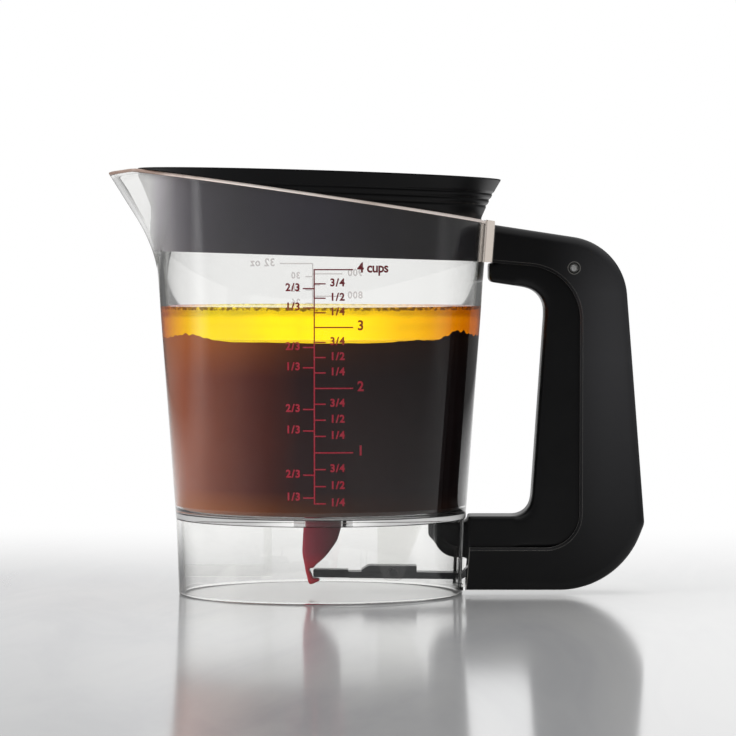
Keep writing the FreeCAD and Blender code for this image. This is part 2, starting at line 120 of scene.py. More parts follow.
def add_node(
    tree: NodeTree, kind: str, inputs: dict | None = None, stops: Stops | None = None, **settings: Any
) -> Node:
    """Adds a node, gives it its settings, and fills or links its inputs.

    Args:
        tree: the node tree that takes the node.
        kind: Blender's name for the node.
        inputs: by the input's name or number, a value, an output socket to link from, or a
            node, which stands for its first output.
        stops: a colour ramp's places and hex colours.
        **settings: the node's own properties.
    Returns:
        The node.
    """
    node = tree.nodes.new(kind)
    for name, value in settings.items():
        setattr(node, name, value)
    if stops:
        points = node.color_ramp.elements
        while len(points) < len(stops):
            points.new(0.5)
        for point, (place, colour) in zip(points, stops):
            point.position = place
            point.color = linear(colour)
    for name, value in (inputs or {}).items():
        if isinstance(value, Node):
            value = value.outputs[0]
        if isinstance(value, NodeSocket):
            tree.links.new(value, node.inputs[name])
        else:
            node.inputs[name].default_value = value
    return node


def new_material(name: str) -> tuple[Material, NodeTree, NodeSocket]:
    """A node material that is still empty.

    Args:
        name: the material's name.
    Returns:
        The material, its tree, and the socket with the piece's own coordinates in metres.
    """
    material = bpy.data.materials.new(name)
    material.use_nodes = True
    tree = material.node_tree
    tree.nodes.clear()
    return material, tree, add_node(tree, "ShaderNodeTexCoord").outputs["Object"]


def through_for_shadows(tree: NodeTree, shader: Node, tint: str) -> Node:
    """The same shader, but tinted clear for the light that passes through it.

    Args:
        tree: the material's tree.
        shader: the shader that is seen.
        tint: hex colour of the light that comes through.
    Returns:
        The mixed shader.
    """
    rays = add_node(tree, "ShaderNodeLightPath")
    clear = add_node(tree, "ShaderNodeBsdfTransparent", {"Color": linear(tint)})
    return add_node(tree, "ShaderNodeMixShader", {0: rays.outputs["Is Shadow Ray"], 1: shader, 2: clear})


@dataclass(frozen=True)
class ClearPlastic:
    """Injection-moulded SAN or copolyester, polished mould: water-clear, with bright hard edges."""

    name: str = "clear_plastic"
    tint: str = "#fefefd"
    edge_tint: str = "#b9b8b2"
    shadow_tint: str = "#fafaf9"
    edge_glow: float = 0.2
    edge_roughness: float = 0.3
    ior: float = 1.57
    roughness: float = 0.015
    flow_mm: float = 26.0
    flow_depth_mm: float = 0.004
    smear_mm: float = 16.0

    def material(self) -> Material:
        """A refracting shader with the slight waviness that a moulded wall has, painted greyer as shade where
        the wall is seen edge-on.

        Returns:
            The material.
        """
        material, tree, where = new_material(self.name)
        size = {"Vector": where, "Scale": 1 / (self.flow_mm * MM), "Detail": 1.0}
        waves = add_node(tree, "ShaderNodeTexNoise", size)
        depth = {"Height": waves, "Distance": self.flow_depth_mm * MM, "Strength": 1.0}
        bump = add_node(tree, "ShaderNodeBump", depth)
        turned = add_node(tree, "ShaderNodeLayerWeight", {"Blend": 0.5}).outputs["Facing"]
        # Painted shade: the base colour turns greyer where the wall is seen edge-on.
        edges = [(0.78, self.tint), (0.86, self.edge_tint), (0.99, self.edge_tint)]
        looks = {
            "Base Color": add_node(tree, "ShaderNodeValToRGB", {"Fac": turned}, edges),
            "Roughness": self.roughness,
            "IOR": self.ior,
            "Transmission Weight": 1.0,
            "Normal": bump,
        }
        shader = add_node(tree, "ShaderNodeBsdfPrincipled", looks)
        lit = through_for_shadows(tree, shader, self.shadow_tint)
        add_node(tree, "ShaderNodeOutputMaterial", {"Surface": lit})
        return material

    def edge_material(self) -> Material:
        """The same plastic on a turned edge, with a painted warm glow and painted light along it, brown at
        the spout's end and pale towards the handle.

        Returns:
            The material.
        """
        material, tree, where = new_material(f"{self.name}_edge")
        place = add_node(tree, "ShaderNodeSeparateXYZ", {0: where})
        along = add_node(tree, "ShaderNodeMapRange", {0: place.outputs["X"], 1: -85 * MM, 2: 65 * MM})
        size = {"Vector": where, "Scale": 1 / (self.smear_mm * MM), "Detail": 3.0}
        smears = add_node(tree, "ShaderNodeTexNoise", size)
        drifted = add_node(tree, "ShaderNodeMath", {0: smears, 1: 0.35, 2: along}, operation="MULTIPLY_ADD")
        # Painted light: this tone along X stands in for the light that the rim catches, and the emission is a
        # painted glow.
        spout_end = [(0.12, "#8a7064"), (0.32, "#9c8478"), (0.44, "#f6e4da")]
        handle_end = [(0.62, "#fff4ec"), (0.9, "#d8c8be"), (1.0, "#fff2ea")]
        colour = add_node(tree, "ShaderNodeValToRGB", {"Fac": drifted}, spout_end + handle_end)
        looks = {
            "Base Color": colour,
            "Roughness": self.edge_roughness,
            "IOR": self.ior,
            "Emission Color": colour,
            "Emission Strength": self.edge_glow,
        }
        shader = add_node(tree, "ShaderNodeBsdfPrincipled", looks)
        add_node(tree, "ShaderNodeOutputMaterial", {"Surface": shader})
        return material


@dataclass(frozen=True)
class MouldedPlastic:
    """Black or coloured moulded plastic or rubber: an even colour under a fine spark-eroded grain."""

    name: str
    colour: str
    worn_colour: str
    roughness: float
    ior: float = 1.5
    specular: float = 0.5
    gloss_drift: float = 0.07
    edge_mm: float = 0.0
    edge_colour: str = "#92908c"
    drift_mm: float = 18.0
    # The eroded grain is finer than a tenth of a millimetre, and is drawn coarser so that it shows.
    grain_mm: float = 0.35
    grain_depth_mm: float = 0.006

    def material(self, paint: Callable | None = None) -> Material:
        """An even shader whose colour and gloss drift slightly, over a fine bump.

        Args:
            paint: adds painted light and shade to the colour, from the tree, the coordinates and the colour.
        Returns:
            The material.
        """
        material, tree, where = new_material(self.name)
        size = {"Vector": where, "Scale": 1 / (self.drift_mm * MM), "Detail": 3.0}
        drift = add_node(tree, "ShaderNodeTexNoise", size)
        tones = [(0.35, self.colour), (0.7, self.worn_colour)]
        colour = add_node(tree, "ShaderNodeValToRGB", {"Fac": drift}, tones).outputs[0]
        if paint:
            colour = paint(tree, where, colour)
        # Painted highlight along the sharp edges.
        if self.edge_mm:
            colour = self.polished_edges(tree, colour)
        low, high = (self.roughness * (1 + side * self.gloss_drift) for side in (-1, 1))
        size = {"Vector": where, "Scale": 1 / (self.grain_mm * MM), "Detail": 2.0}
        grain = add_node(tree, "ShaderNodeTexNoise", size)
        depth = {"Height": grain, "Distance": self.grain_depth_mm * MM, "Strength": 1.0}
        looks = {
            "Base Color": colour,
            "Roughness": add_node(tree, "ShaderNodeMapRange", {0: drift, 3: low, 4: high}),
            "IOR": self.ior,
            "Specular IOR Level": self.specular,
            "Normal": add_node(tree, "ShaderNodeBump", depth),
        }
        shader = add_node(tree, "ShaderNodeBsdfPrincipled", looks)
        add_node(tree, "ShaderNodeOutputMaterial", {"Surface": shader})
        return material

    def polished_edges(self, tree: NodeTree, colour: NodeSocket) -> NodeSocket:
        """Lightens the sharp edges with a painted highlight, for the light that their rounding would catch.

        Args:
            tree: the material's tree.
            colour: the colour away from the edges.
        Returns:
            The colour with its edges.
        """
        rounded = add_node(tree, "ShaderNodeBevel", {"Radius": self.edge_mm * MM}, samples=8)
        flat = add_node(tree, "ShaderNodeNewGeometry").outputs["Normal"]
        along = add_node(tree, "ShaderNodeVectorMath", {0: rounded, 1: flat}, operation="DOT_PRODUCT")
        edge = add_node(tree, "ShaderNodeMapRange", {0: along.outputs["Value"], 1: 0.98, 2: 0.8})
        mixed = {0: edge, 6: colour, 7: linear(self.edge_colour)}
        return add_node(tree, "ShaderNodeMix", mixed, data_type="RGBA").outputs[2]


@dataclass(frozen=True)
class Silicone:
    """Moulded silicone rubber: a saturated red, deeper where it is thick, with a soft gloss, and painted
    light on its left and painted shade on its right.
    """

    name: str = "stopper_silicone"
    lit_colour: str = "#b83c50"
    thick_colour: str = "#8e1c34"
    far_colour: str = "#66101f"
    thin_colour: str = "#cf1230"
    roughness: float = 0.38
    ior: float = 1.41
    specular: float = 0.25
    thin_below_z: float = 8.0
    thick_above_z: float = 16.0
    half_x: float = 7.0
    light_depth_mm: float = 1.5

    def material(self) -> Material:
        """A red that brightens towards the thin tip, with painted light on the left and painted shade on the
        right, and a little light let into the surface.

        Returns:
            The material.
        """
        material, tree, where = new_material(self.name)
        place = add_node(tree, "ShaderNodeSeparateXYZ", {0: where})
        span = {0: place.outputs["Z"], 1: self.thin_below_z * MM, 2: self.thick_above_z * MM}
        height = add_node(tree, "ShaderNodeMapRange", span)
        span = {0: place.outputs["X"], 1: -self.half_x * MM, 2: self.half_x * MM}
        across = add_node(tree, "ShaderNodeMapRange", span)
        # Painted light and shade: lit on the left, in shade on the right.
        tones = [(0.05, self.lit_colour), (0.4, self.thick_colour), (0.8, self.far_colour)]
        body = add_node(tree, "ShaderNodeValToRGB", {"Fac": across}, tones)
        mixed = {0: height, 6: linear(self.thin_colour), 7: body}
        looks = {
            "Base Color": add_node(tree, "ShaderNodeMix", mixed, data_type="RGBA").outputs[2],
            "Roughness": self.roughness,
            "IOR": self.ior,
            "Specular IOR Level": self.specular,
            "Subsurface Weight": 0.25,
            "Subsurface Radius": (1.0, 0.15, 0.12),
            "Subsurface Scale": self.light_depth_mm * MM,
        }
        shader = add_node(tree, "ShaderNodeBsdfPrincipled", looks)
        add_node(tree, "ShaderNodeOutputMaterial", {"Surface": shader})
        return material


@dataclass(frozen=True)
class DrawnSteel:
    """Stainless wire and pin stock, drawn through a die: bright, with fine streaks along its length."""

    name: str = "steel"
    colour: str = "#e6e6e4"
    roughness: float = 0.5
    gloss_drift: float = 0.3
    # The die's scratches are finer than this across, and are drawn wider so that they show.
    streak_mm: Point = (0.2, 6.0, 0.2)

    def material(self) -> Material:
        """A metal with streaks stretched along Y, the way that the pins were drawn.

        Returns:
            The material.
        """
        material, tree, where = new_material(self.name)
        scale = tuple(1 / (length * MM) for length in self.streak_mm)
        stretched = add_node(tree, "ShaderNodeMapping", {"Vector": where, "Scale": scale})
        streaks = add_node(tree, "ShaderNodeTexNoise", {"Vector": stretched, "Scale": 1.0})
        low, high = (self.roughness * (1 + side * self.gloss_drift) for side in (-1, 1))
        gloss = add_node(tree, "ShaderNodeMapRange", {0: streaks, 3: low, 4: high})
        looks = {"Base Color": linear(self.colour), "Metallic": 1.0, "Roughness": gloss}
        shader = add_node(tree, "ShaderNodeBsdfPrincipled", looks)
        add_node(tree, "ShaderNodeOutputMaterial", {"Surface": shader})
        return material


@dataclass(frozen=True)
class ScreenInk:
    """Pad-printed ink, cured on the plastic: flat and dense, with tiny differences in cover."""

    name: str
    colour: str
    over_fat: str
    over_gravy: str
    cover: float = 1.0
    fat_z: tuple[float, float] = (97.4, 111.0)
    height_mm: float = 200.0
    # The pad's pinholes are finer, and are drawn coarser so that they show.
    speck_mm: float = 0.4
    roughness: float = 0.5
    ior: float = 1.5

    def material(self) -> Material:
        """A near-matt colour, thinner in specks, with its tone painted by height for the light from behind:
        darkest above the liquids, orange over the fat and redder over the gravy.

        Returns:
            The material.
        """
        material, tree, where = new_material(self.name)
        size = {"Vector": where, "Scale": 1 / (self.speck_mm * MM), "Detail": 2.0}
        specks = add_node(tree, "ShaderNodeTexNoise", size)
        place = add_node(tree, "ShaderNodeSeparateXYZ", {0: where})
        height = add_node(tree, "ShaderNodeMapRange", {0: place.outputs["Z"], 1: 0.0, 2: self.height_mm * MM})
        low, high = (z / self.height_mm for z in self.fat_z)
        step = 0.004
        stops = [(low - step, self.over_gravy), (low + step, self.over_fat)]
        stops += [(high - step, self.over_fat), (high + step, self.colour)]
        # Painted light: these bands stand in for what shows through the ink from behind it.
        dense = add_node(tree, "ShaderNodeValToRGB", {"Fac": height}, stops)
        thin = add_node(tree, "ShaderNodeMapRange", {0: specks, 1: 0.4, 2: 0.75, 3: 1.0, 4: 0.86})
        looks = {
            "Base Color": add_node(tree, "ShaderNodeHueSaturation", {"Saturation": thin, "Color": dense}),
            "Roughness": self.roughness,
            "IOR": self.ior,
            "Alpha": self.cover,
        }
        shader = add_node(tree, "ShaderNodeBsdfPrincipled", looks)
        add_node(tree, "ShaderNodeOutputMaterial", {"Surface": shader})
        return material


# ---- Meshes ----


def add_object(name: str, data: ID) -> Object:
    """A new object with this data, linked to the scene.

    Args:
        name: the object's name.
        data: its mesh, curve, lamp or camera.
    Returns:
        The object.
    """
    thing = bpy.data.objects.new(name, data)
    bpy.context.scene.collection.objects.link(thing)
    return thing


def mesh_object(
    name: str,
    points: Sequence[Point],
    faces: Sequence[Sequence[int]],
    material: Material,
    smooth_below_deg: float = 35.0,
) -> Object:
    """A closed mesh from points in millimetres, welded, facing outward and smooth where it is round.

    Args:
        name: the piece's name.
        points: its corners in millimetres.
        faces: corner numbers of each face.
        material: the finish of the whole piece.
        smooth_below_deg: edges that bend by less than this are shaded round.
    Returns:
        The object, at the origin, in the scene.
    """
    shape = bmesh.new()
    corners = [shape.verts.new([c * MM for c in p]) for p in points]
    for face in faces:
        ring = [corners[i] for i in face]
        if len({v.co.copy().freeze() for v in ring}) > 2:
            shape.faces.new(ring)
    bmesh.ops.remove_doubles(shape, verts=shape.verts, dist=WELD)
    bmesh.ops.dissolve_degenerate(shape, edges=shape.edges, dist=WELD / 10)
    bmesh.ops.recalc_face_normals(shape, faces=shape.faces)
    mesh = bpy.data.meshes.new(name)
    shape.to_mesh(mesh)
    shape.free()
    return finish_mesh(name, mesh, material, smooth_below_deg)


def finish_mesh(name: str, mesh: Mesh, material: Material, smooth_below_deg: float = 35.0) -> Object:
    """Shades a mesh round below an angle, gives it its finish and puts it in the scene.

    Args:
        name: the piece's name.
        mesh: its mesh, in metres.
        material: its finish.
        smooth_below_deg: edges that bend by less than this are shaded round.
    Returns:
        The piece.
    """
    mesh.shade_smooth()
    mesh.set_sharp_from_angle(angle=math.radians(smooth_below_deg))
    mesh.materials.clear()
    mesh.materials.append(material)
    return add_object(name, mesh)


def loop_faces(columns: int, rows: int, closed: bool = True) -> list[tuple[int, ...]]:
    """Faces of a skin that closes round the axis, column by column.

    Args:
        columns: how many profiles stand round the axis.
        rows: how many points each profile has.
        closed: whether the profile's end joins its start.
    Returns:
        The corner numbers of each face.
    """
    faces = []
    for column in range(columns):
        here, there = column * rows, (column + 1) % columns * rows
        for row in range(rows if closed else rows - 1):
            above = (row + 1) % rows
            faces.append((here + row, there + row, there + above, here + above))
    return faces


def ring_skin(
    name: str,
    column_at: Callable[[float], list[Point]],
    material: Material,
    columns: int,
    smooth_below_deg: float,
) -> Object:
    """A closed ring built from one profile for each angle round the axis.

    Args:
        name: the piece's name.
        column_at: gives the profile's points, in millimetres, at an angle.
        material: its finish.
        columns: how many profiles there are in a turn.
        smooth_below_deg: edges that bend by less than this are shaded round.
    Returns:
        The piece.
    """
    profiles = [column_at(angle) for angle in turn_angles(columns)]
    points = [p for profile in profiles for p in profile]
    return mesh_object(name, points, loop_faces(columns, len(profiles[0])), material, smooth_below_deg)


def spread(start: float, end: float, count: int) -> list[float]:
    """Count values from start to end, both included."""
    return [start + (end - start) * i / (count - 1) for i in range(count)]


def turn_angles(count: int) -> list[float]:
    """Count even angles once round."""
    return [2 * math.pi * i / count for i in range(count)]


def quarter_round(steps: int) -> list[tuple[float, float]]:
    """The rise and the drawing-in of a rounded edge of radius 1, at even steps of its quarter turn.

    Args:
        steps: how many steps.
    Returns:
        Both shares of the radius, step by step.
    """
    turns = [math.pi / 2 * k / steps for k in range(steps + 1)]
    return [(math.sin(turn), 1 - math.cos(turn)) for turn in turns]


def at(radius: float, angle: float, z: float) -> Point:
    """A point from its distance to the axis, its angle and its height."""
    return (radius * math.cos(angle), radius * math.sin(angle), z)


def plain_mesh(source: Object) -> Mesh:
    """The mesh that an object's modifiers or curve make; the object itself is removed.

    Args:
        source: the object.
    Returns:
        The mesh.
    """
    graph = bpy.context.evaluated_depsgraph_get()
    mesh = bpy.data.meshes.new_from_object(source.evaluated_get(graph))
    bpy.data.objects.remove(source)
    return mesh


def geometry_tree(name: str, sockets: dict[str, str]) -> GeometryNodeTree:
    """An empty tree of geometry nodes.

    Args:
        name: the tree's name.
        sockets: the kind of each input, by the input's name.
    Returns:
        The tree, with these inputs, a finish and one output.
    """
    tree = bpy.data.node_groups.new(name, "GeometryNodeTree")
    for socket, kind in (sockets | {"Finish": "Material"}).items():
        tree.interface.new_socket(socket, in_out="INPUT", socket_type=f"NodeSocket{kind}")
    tree.interface.new_socket("Piece", in_out="OUTPUT", socket_type="NodeSocketGeometry")
    return tree


def grown(
    name: str, tree: GeometryNodeTree, sizes: dict[str, Any], material: Material, seeds: Sequence[Point] = ()
) -> Object:
    """Runs a tree of geometry nodes and keeps what it makes as a plain mesh.

    Args:
        name: the piece's name.
        tree: the geometry nodes.
        sizes: a value for each of the tree's inputs, by name.
        material: the piece's finish.
        seeds: points in metres that the tree starts from.
    Returns:
        The piece.
    """
    start = bpy.data.meshes.new(name)
    start.from_pydata(list(seeds), [], [])
    holder = add_object(name, start)
    steps = holder.modifiers.new("grow", "NODES")
    steps.node_group = tree
    given = sizes | {"Finish": material}
    for item in tree.interface.items_tree:
        if item.name in given:
            steps[item.identifier] = given[item.name]
    return finish_mesh(name, plain_mesh(holder), material)


def finish_tree(tree: GeometryNodeTree, shape: Node, finish: NodeSocket) -> None:
    """Ends a tree of geometry nodes: what it made, without instances and with its finish.

    Args:
        tree: the geometry nodes.
        shape: the node that made the shape.
        finish: the finish's socket.
    """
    whole = add_node(tree, "GeometryNodeRealizeInstances", {0: shape})
    painted = add_node(tree, "GeometryNodeSetMaterial", {0: whole, "Material": finish})
    add_node(tree, "NodeGroupOutput", {0: painted})


def softened(
    node: Object, name: str, voxel: float, passes: int, material: Material, gentle_below_x: float = -1000.0
) -> Object:
    """A copy of a solid with its edges rounded, as a moulded piece has them.

    Args:
        node: the solid.
        name: the new piece's name.
        voxel: size of the skin's faces in millimetres.
        passes: how often the skin is smoothed; more passes give rounder edges.
        material: its finish.
        gentle_below_x: what lies below this X, in millimetres, gets only a fifth of the passes.
    Returns:
        The piece.
    """
    shape = bmesh.new()
    shape.from_mesh(node.data)
    bmesh.ops.remove_doubles(shape, verts=shape.verts, dist=WELD)
    mesh = bpy.data.meshes.new(name)
    shape.to_mesh(mesh)
    shape.free()
    holder = add_object(name, mesh)
    remesh = holder.modifiers.new("skin", "REMESH")
    remesh.mode = "VOXEL"
    remesh.voxel_size = voxel * MM
    skin = plain_mesh(holder)
    shape = bmesh.new()
    shape.from_mesh(skin)
    far = [v for v in shape.verts if v.co.x > gentle_below_x * MM]
    for turn in range(passes):
        moved = shape.verts[:] if turn < passes / 5 else far
        bmesh.ops.smooth_vert(
            shape, verts=moved, factor=0.5, use_axis_x=True, use_axis_y=True, use_axis_z=True
        )
    shape.to_mesh(skin)
    shape.free()
    piece = finish_mesh(name, skin, material)
    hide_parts(node.name)
    return piece


def set_finish(node: Object, material: Material) -> Object:
    """Gives a solid of the part its finish.

    Args:
        node: the solid.
        material: its finish.
    Returns:
        The solid.
    """
    node.data.materials.clear()
    node.data.materials.append(material)
    return node


# ---- Jug ----


@dataclass(frozen=True)
class JugForm:
    """The outer form of the jug: a round taper whose spout leans out of it under a sloping rim."""

    wall: float = 2.3
    floor_top_z: float = 31.2
    floor_low_z: float = 28.9
    bore_r_at_floor: float = 53.45
    bore_slope: float = 0.0731
    rim_z_on_axis: float = 152.1
    rim_fall: float = 0.1475
    lip_start_x: float = -71.5
    lip_z: float = 162.5
    lip_droop: float = 0.11
    spout_lean: float = 0.555
    spout_bend_z: float = 132.0
    spout_ease: float = 11.9
    nose_r_low: float = 21.6
    nose_r_top: float = 9.0
    top_z: float = 169.146
    rim_tries: int = 30

    def body_r(self, z: float) -> float:
        """Outer radius of the round body at a height."""
        return self.bore_r_at_floor + self.bore_slope * (z - self.floor_top_z) + self.wall

    def spout_reach(self, z: float) -> float:
        """How far the nose stands out of the round body.

        Args:
            z: the height.
        Returns:
            The reach, which eases in round the bend and grows evenly above it.
        """
        over = z - self.spout_bend_z
        if over >= self.spout_ease:
            return self.spout_lean * over
        if over <= -self.spout_ease:
            return 0.0
        return self.spout_lean * (over + self.spout_ease) ** 2 / (4 * self.spout_ease)

    def radius(self, angle: float, z: float, inset: float = 0.0) -> float:
        """Distance from the axis to the form: its round body, its nose, or the flat between them.

        Args:
            angle: the angle round the axis.
            z: the height.
            inset: how far the form is drawn in.
        Returns:
            The distance.
        """
        body = self.body_r(z) - inset
        start_z = self.spout_bend_z - self.spout_ease
        share = min(max((z - start_z) / (self.top_z - start_z), 0.0), 1.0)
        nose = self.nose_r_low + (self.nose_r_top - self.nose_r_low) * share - inset
        centre = body + self.spout_reach(z) - nose
        off = abs(math.remainder(angle - math.pi, 2 * math.pi))
        side = math.acos(min((body - nose) / centre, 1.0))
        if off >= side:
            return body
        nose_off = math.atan2(nose * math.sin(side), centre + nose * math.cos(side))
        if off > nose_off:
            return body / math.cos(side - off)
        return centre * math.cos(off) + math.sqrt(nose**2 - (centre * math.sin(off)) ** 2)

    def rim_z(self, x: float) -> float:
        """Height of the rim's cut at an X.

        Args:
            x: the X.
        Returns:
            The height.
        """
        if x < self.lip_start_x:
            return self.lip_z - self.lip_droop * (self.lip_start_x - x)
        return min(self.rim_z_on_axis - self.rim_fall * x, self.lip_z)

    def rim_at(self, angle: float, inset: float = 0.0) -> float:
        """Height at which the form meets the rim's cut.

        Args:
            angle: the angle round the axis.
            inset: how far the form is drawn in.
        Returns:
            The height.
        """
        z = self.rim_z_on_axis
        for _ in range(self.rim_tries):
            z = self.rim_z(self.radius(angle, z, inset) * math.cos(angle))
        return z


@dataclass
class ClearJug:
    """The clear vessel and the pieces that are moulded or welded to it in the same plastic."""

    form: JugForm = field(default_factory=JugForm)
    columns: int = 288
    rim_round: float = 0.8
    rim_steps: int = 4
    rim_row: float = 0.3
    rim_glow: float = 0.28
    spout_rows: int = 34
    below_bend: float = 3.0
    body_rows: tuple[float, float] = (60.0, 90.0)
    heel: tuple[float, float] = (0.15, 0.6)
    floor_fillet: float = 2.4
    fillet_steps: int = 6
    floor_row_share: float = 0.6
    drain_x: float = 0.6
    drain_r: float = 7.3
    drain_margin: float = 2.0
    foot_r: float = 54.5
    skirt_wall: float = 1.9
    skirt_slope: float = 0.034
    foot_round: float = 0.7
    foot_steps: int = 4
    foot_row: float = 0.35
    slot_low_z: float = 3.0
    slot_half: float = 9.4
    slot_columns: int = 17
    seam_gap: float = 0.05
    web_t: float = 1.8
    web_low_z: float = 6.3
    web_h: float = 4.5
    post_x: float = -18.9
    post_w: float = 3.0

    def vessel_column(self, angle: float) -> list[Point]:
        """The vessel's closed profile: wall, rounded rim, bore, fillet, floor and drain.

        Args:
            angle: the profile's angle round the axis.
        Returns:
            Its points.
        """
        form, edge, fillet = self.form, self.rim_round, self.floor_fillet
        wall, low, floor = form.wall, form.floor_low_z, form.floor_top_z
        near, far = self.heel
        middle, upper = self.body_rows
        bend = form.spout_bend_z - form.spout_ease - self.below_bend
        top_out, top_in = form.rim_at(angle) - edge, form.rim_at(angle, wall) - edge
        column = [at(form.radius(angle, low) - back, angle, low) for back in (far, near)]
        outside = [low + near, low + far, middle, upper]
        for z in outside + spread(bend, top_out - self.rim_row, self.spout_rows) + [top_out]:
            column.append(at(form.radius(angle, z), angle, z))
        bends = quarter_round(self.rim_steps)[1:]
        for rise, drawn in bends:
            z = top_out + edge * rise
            column.append(at(form.radius(angle, z) - edge * drawn, angle, z))
        for rise, drawn in reversed(bends):
            z = top_in + edge * rise
            column.append(at(form.radius(angle, z, wall) + edge * drawn, angle, z))
        for z in spread(top_in, bend, self.spout_rows) + [upper, middle, floor + fillet + far]:
            column.append(at(form.radius(angle, z, wall), angle, z))
        for rise, drawn in quarter_round(self.fillet_steps):
            inner = form.radius(angle, floor + fillet, wall) - fillet * drawn
            column.append(at(inner, angle, floor + fillet * (1 - rise)))
        for reach in (inner - far, inner * self.floor_row_share, self.drain_r + self.drain_margin):
            column.append(at(reach, angle, floor))
        for z in (floor, low):
            x, y, _ = at(self.drain_r, angle, z)
            column.append((x + self.drain_x, y, z))
        column.append(at((self.drain_r + form.radius(angle, low)) / 2, angle, low))
        return column

    def skirt_column(self, angle: float, in_slot: bool) -> list[Point]:
        """The skirt's closed profile, up the outside and down the inside.

        Args:
            angle: the profile's angle round the axis.
            in_slot: whether it stays low, under the slot for the trigger's foot.
        Returns:
            Its points.
        """
        top = self.slot_low_z if in_slot else self.form.floor_low_z - self.seam_gap
        edge = self.foot_round
        outer, inner = self.foot_r, self.foot_r - self.skirt_wall
        bends = quarter_round(self.foot_steps)
        heights = (edge + self.foot_row, top * 0.5, top)
        column = [at(outer - edge * (1 - rise), angle, edge * drawn) for rise, drawn in bends]
        column += [at(outer + self.skirt_slope * z, angle, z) for z in heights]
        column += [at(inner + self.skirt_slope * z, angle, z) for z in reversed(heights)]
        return column + [at(inner + edge * drawn, angle, edge * (1 - rise)) for rise, drawn in bends]

    def build_vessel(self, material: Material, edge_material: Material) -> Object:
        """Builds the vessel in place of the plain solid, with its rim finished as a turned edge with a
        painted glow.

        Args:
            material: the clear finish.
            edge_material: the finish of the rim, with its painted glow.
        Returns:
            The vessel.
        """
        piece = ring_skin("jug_vessel_clear", self.vessel_column, material, self.columns, smooth_below_deg=50)
        piece.data.materials.append(edge_material)
        for face in piece.data.polygons:
            x, _, z = face.center / MM
            if z > self.form.rim_z(x) - self.rim_round - self.rim_glow:
                face.material_index = 1
        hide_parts("jug_vessel")
        return piece

    def build_skirt(self, material: Material) -> Object:
        """Builds the ring that the jug stands on, with its slot, post and web.

        Args:
            material: the clear finish.
        Returns:
            The skirt.
        """
        slot = math.asin(self.slot_half / self.foot_r)
        even = [a for a in turn_angles(self.columns) if slot < a < 2 * math.pi - slot]
        columns = [self.skirt_column(a, True) for a in spread(-slot, slot, self.slot_columns)]
        columns += [self.skirt_column(a, False) for a in [slot] + even + [-slot]]
        points = [p for column in columns for p in column]
        faces = loop_faces(len(columns), len(columns[0]))
        post_low = self.post_x - self.post_w
        blocks = (
            (post_low, self.post_x, self.post_w / 2, self.form.floor_low_z - self.seam_gap),
            (-self.foot_r + self.skirt_wall / 2, post_low, self.web_t / 2, self.web_low_z + self.web_h),
        )
        sides = ((0, 3, 2, 1), (4, 5, 6, 7), (0, 1, 5, 4), (1, 2, 6, 5), (2, 3, 7, 6), (3, 0, 4, 7))
        for start_x, end_x, half, top in blocks:
            first = len(points)
            for z in (self.web_low_z, top):
                points += [(start_x, -half, z), (end_x, -half, z), (end_x, half, z), (start_x, half, z)]
            faces += [tuple(first + corner for corner in side) for side in sides]
        piece = mesh_object("base_skirt_clear", points, faces, material, smooth_below_deg=40)
        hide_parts("base_skirt")
        return piece

    def dress(
        self, nodes: Nodes, material: Material, edge_material: Material, thick_shaded_material: Material
    ) -> list[Object]:
        """Builds and finishes every clear piece, and seats it on the jug.

        Args:
            nodes: the part's solids.
            material: the clear finish.
            edge_material: the finish of the rim, with its painted glow.
            thick_shaded_material: the finish of the thick block at the rim, greyer partly for the thick
                plastic's own tint and partly as painted shade.
        Returns:
            The clear pieces.
        """
        pieces = [self.build_vessel(material, edge_material), self.build_skirt(material)]
        for piece in pieces:
            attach(piece, "jug")
        finishes = {"lever_bracket": material, "handle_frame": material, "handle_flange": thick_shaded_material}
        for name, finish in finishes.items():
            pieces.append(set_finish(nodes[name], finish))
        return pieces


# ---- Graduations ----


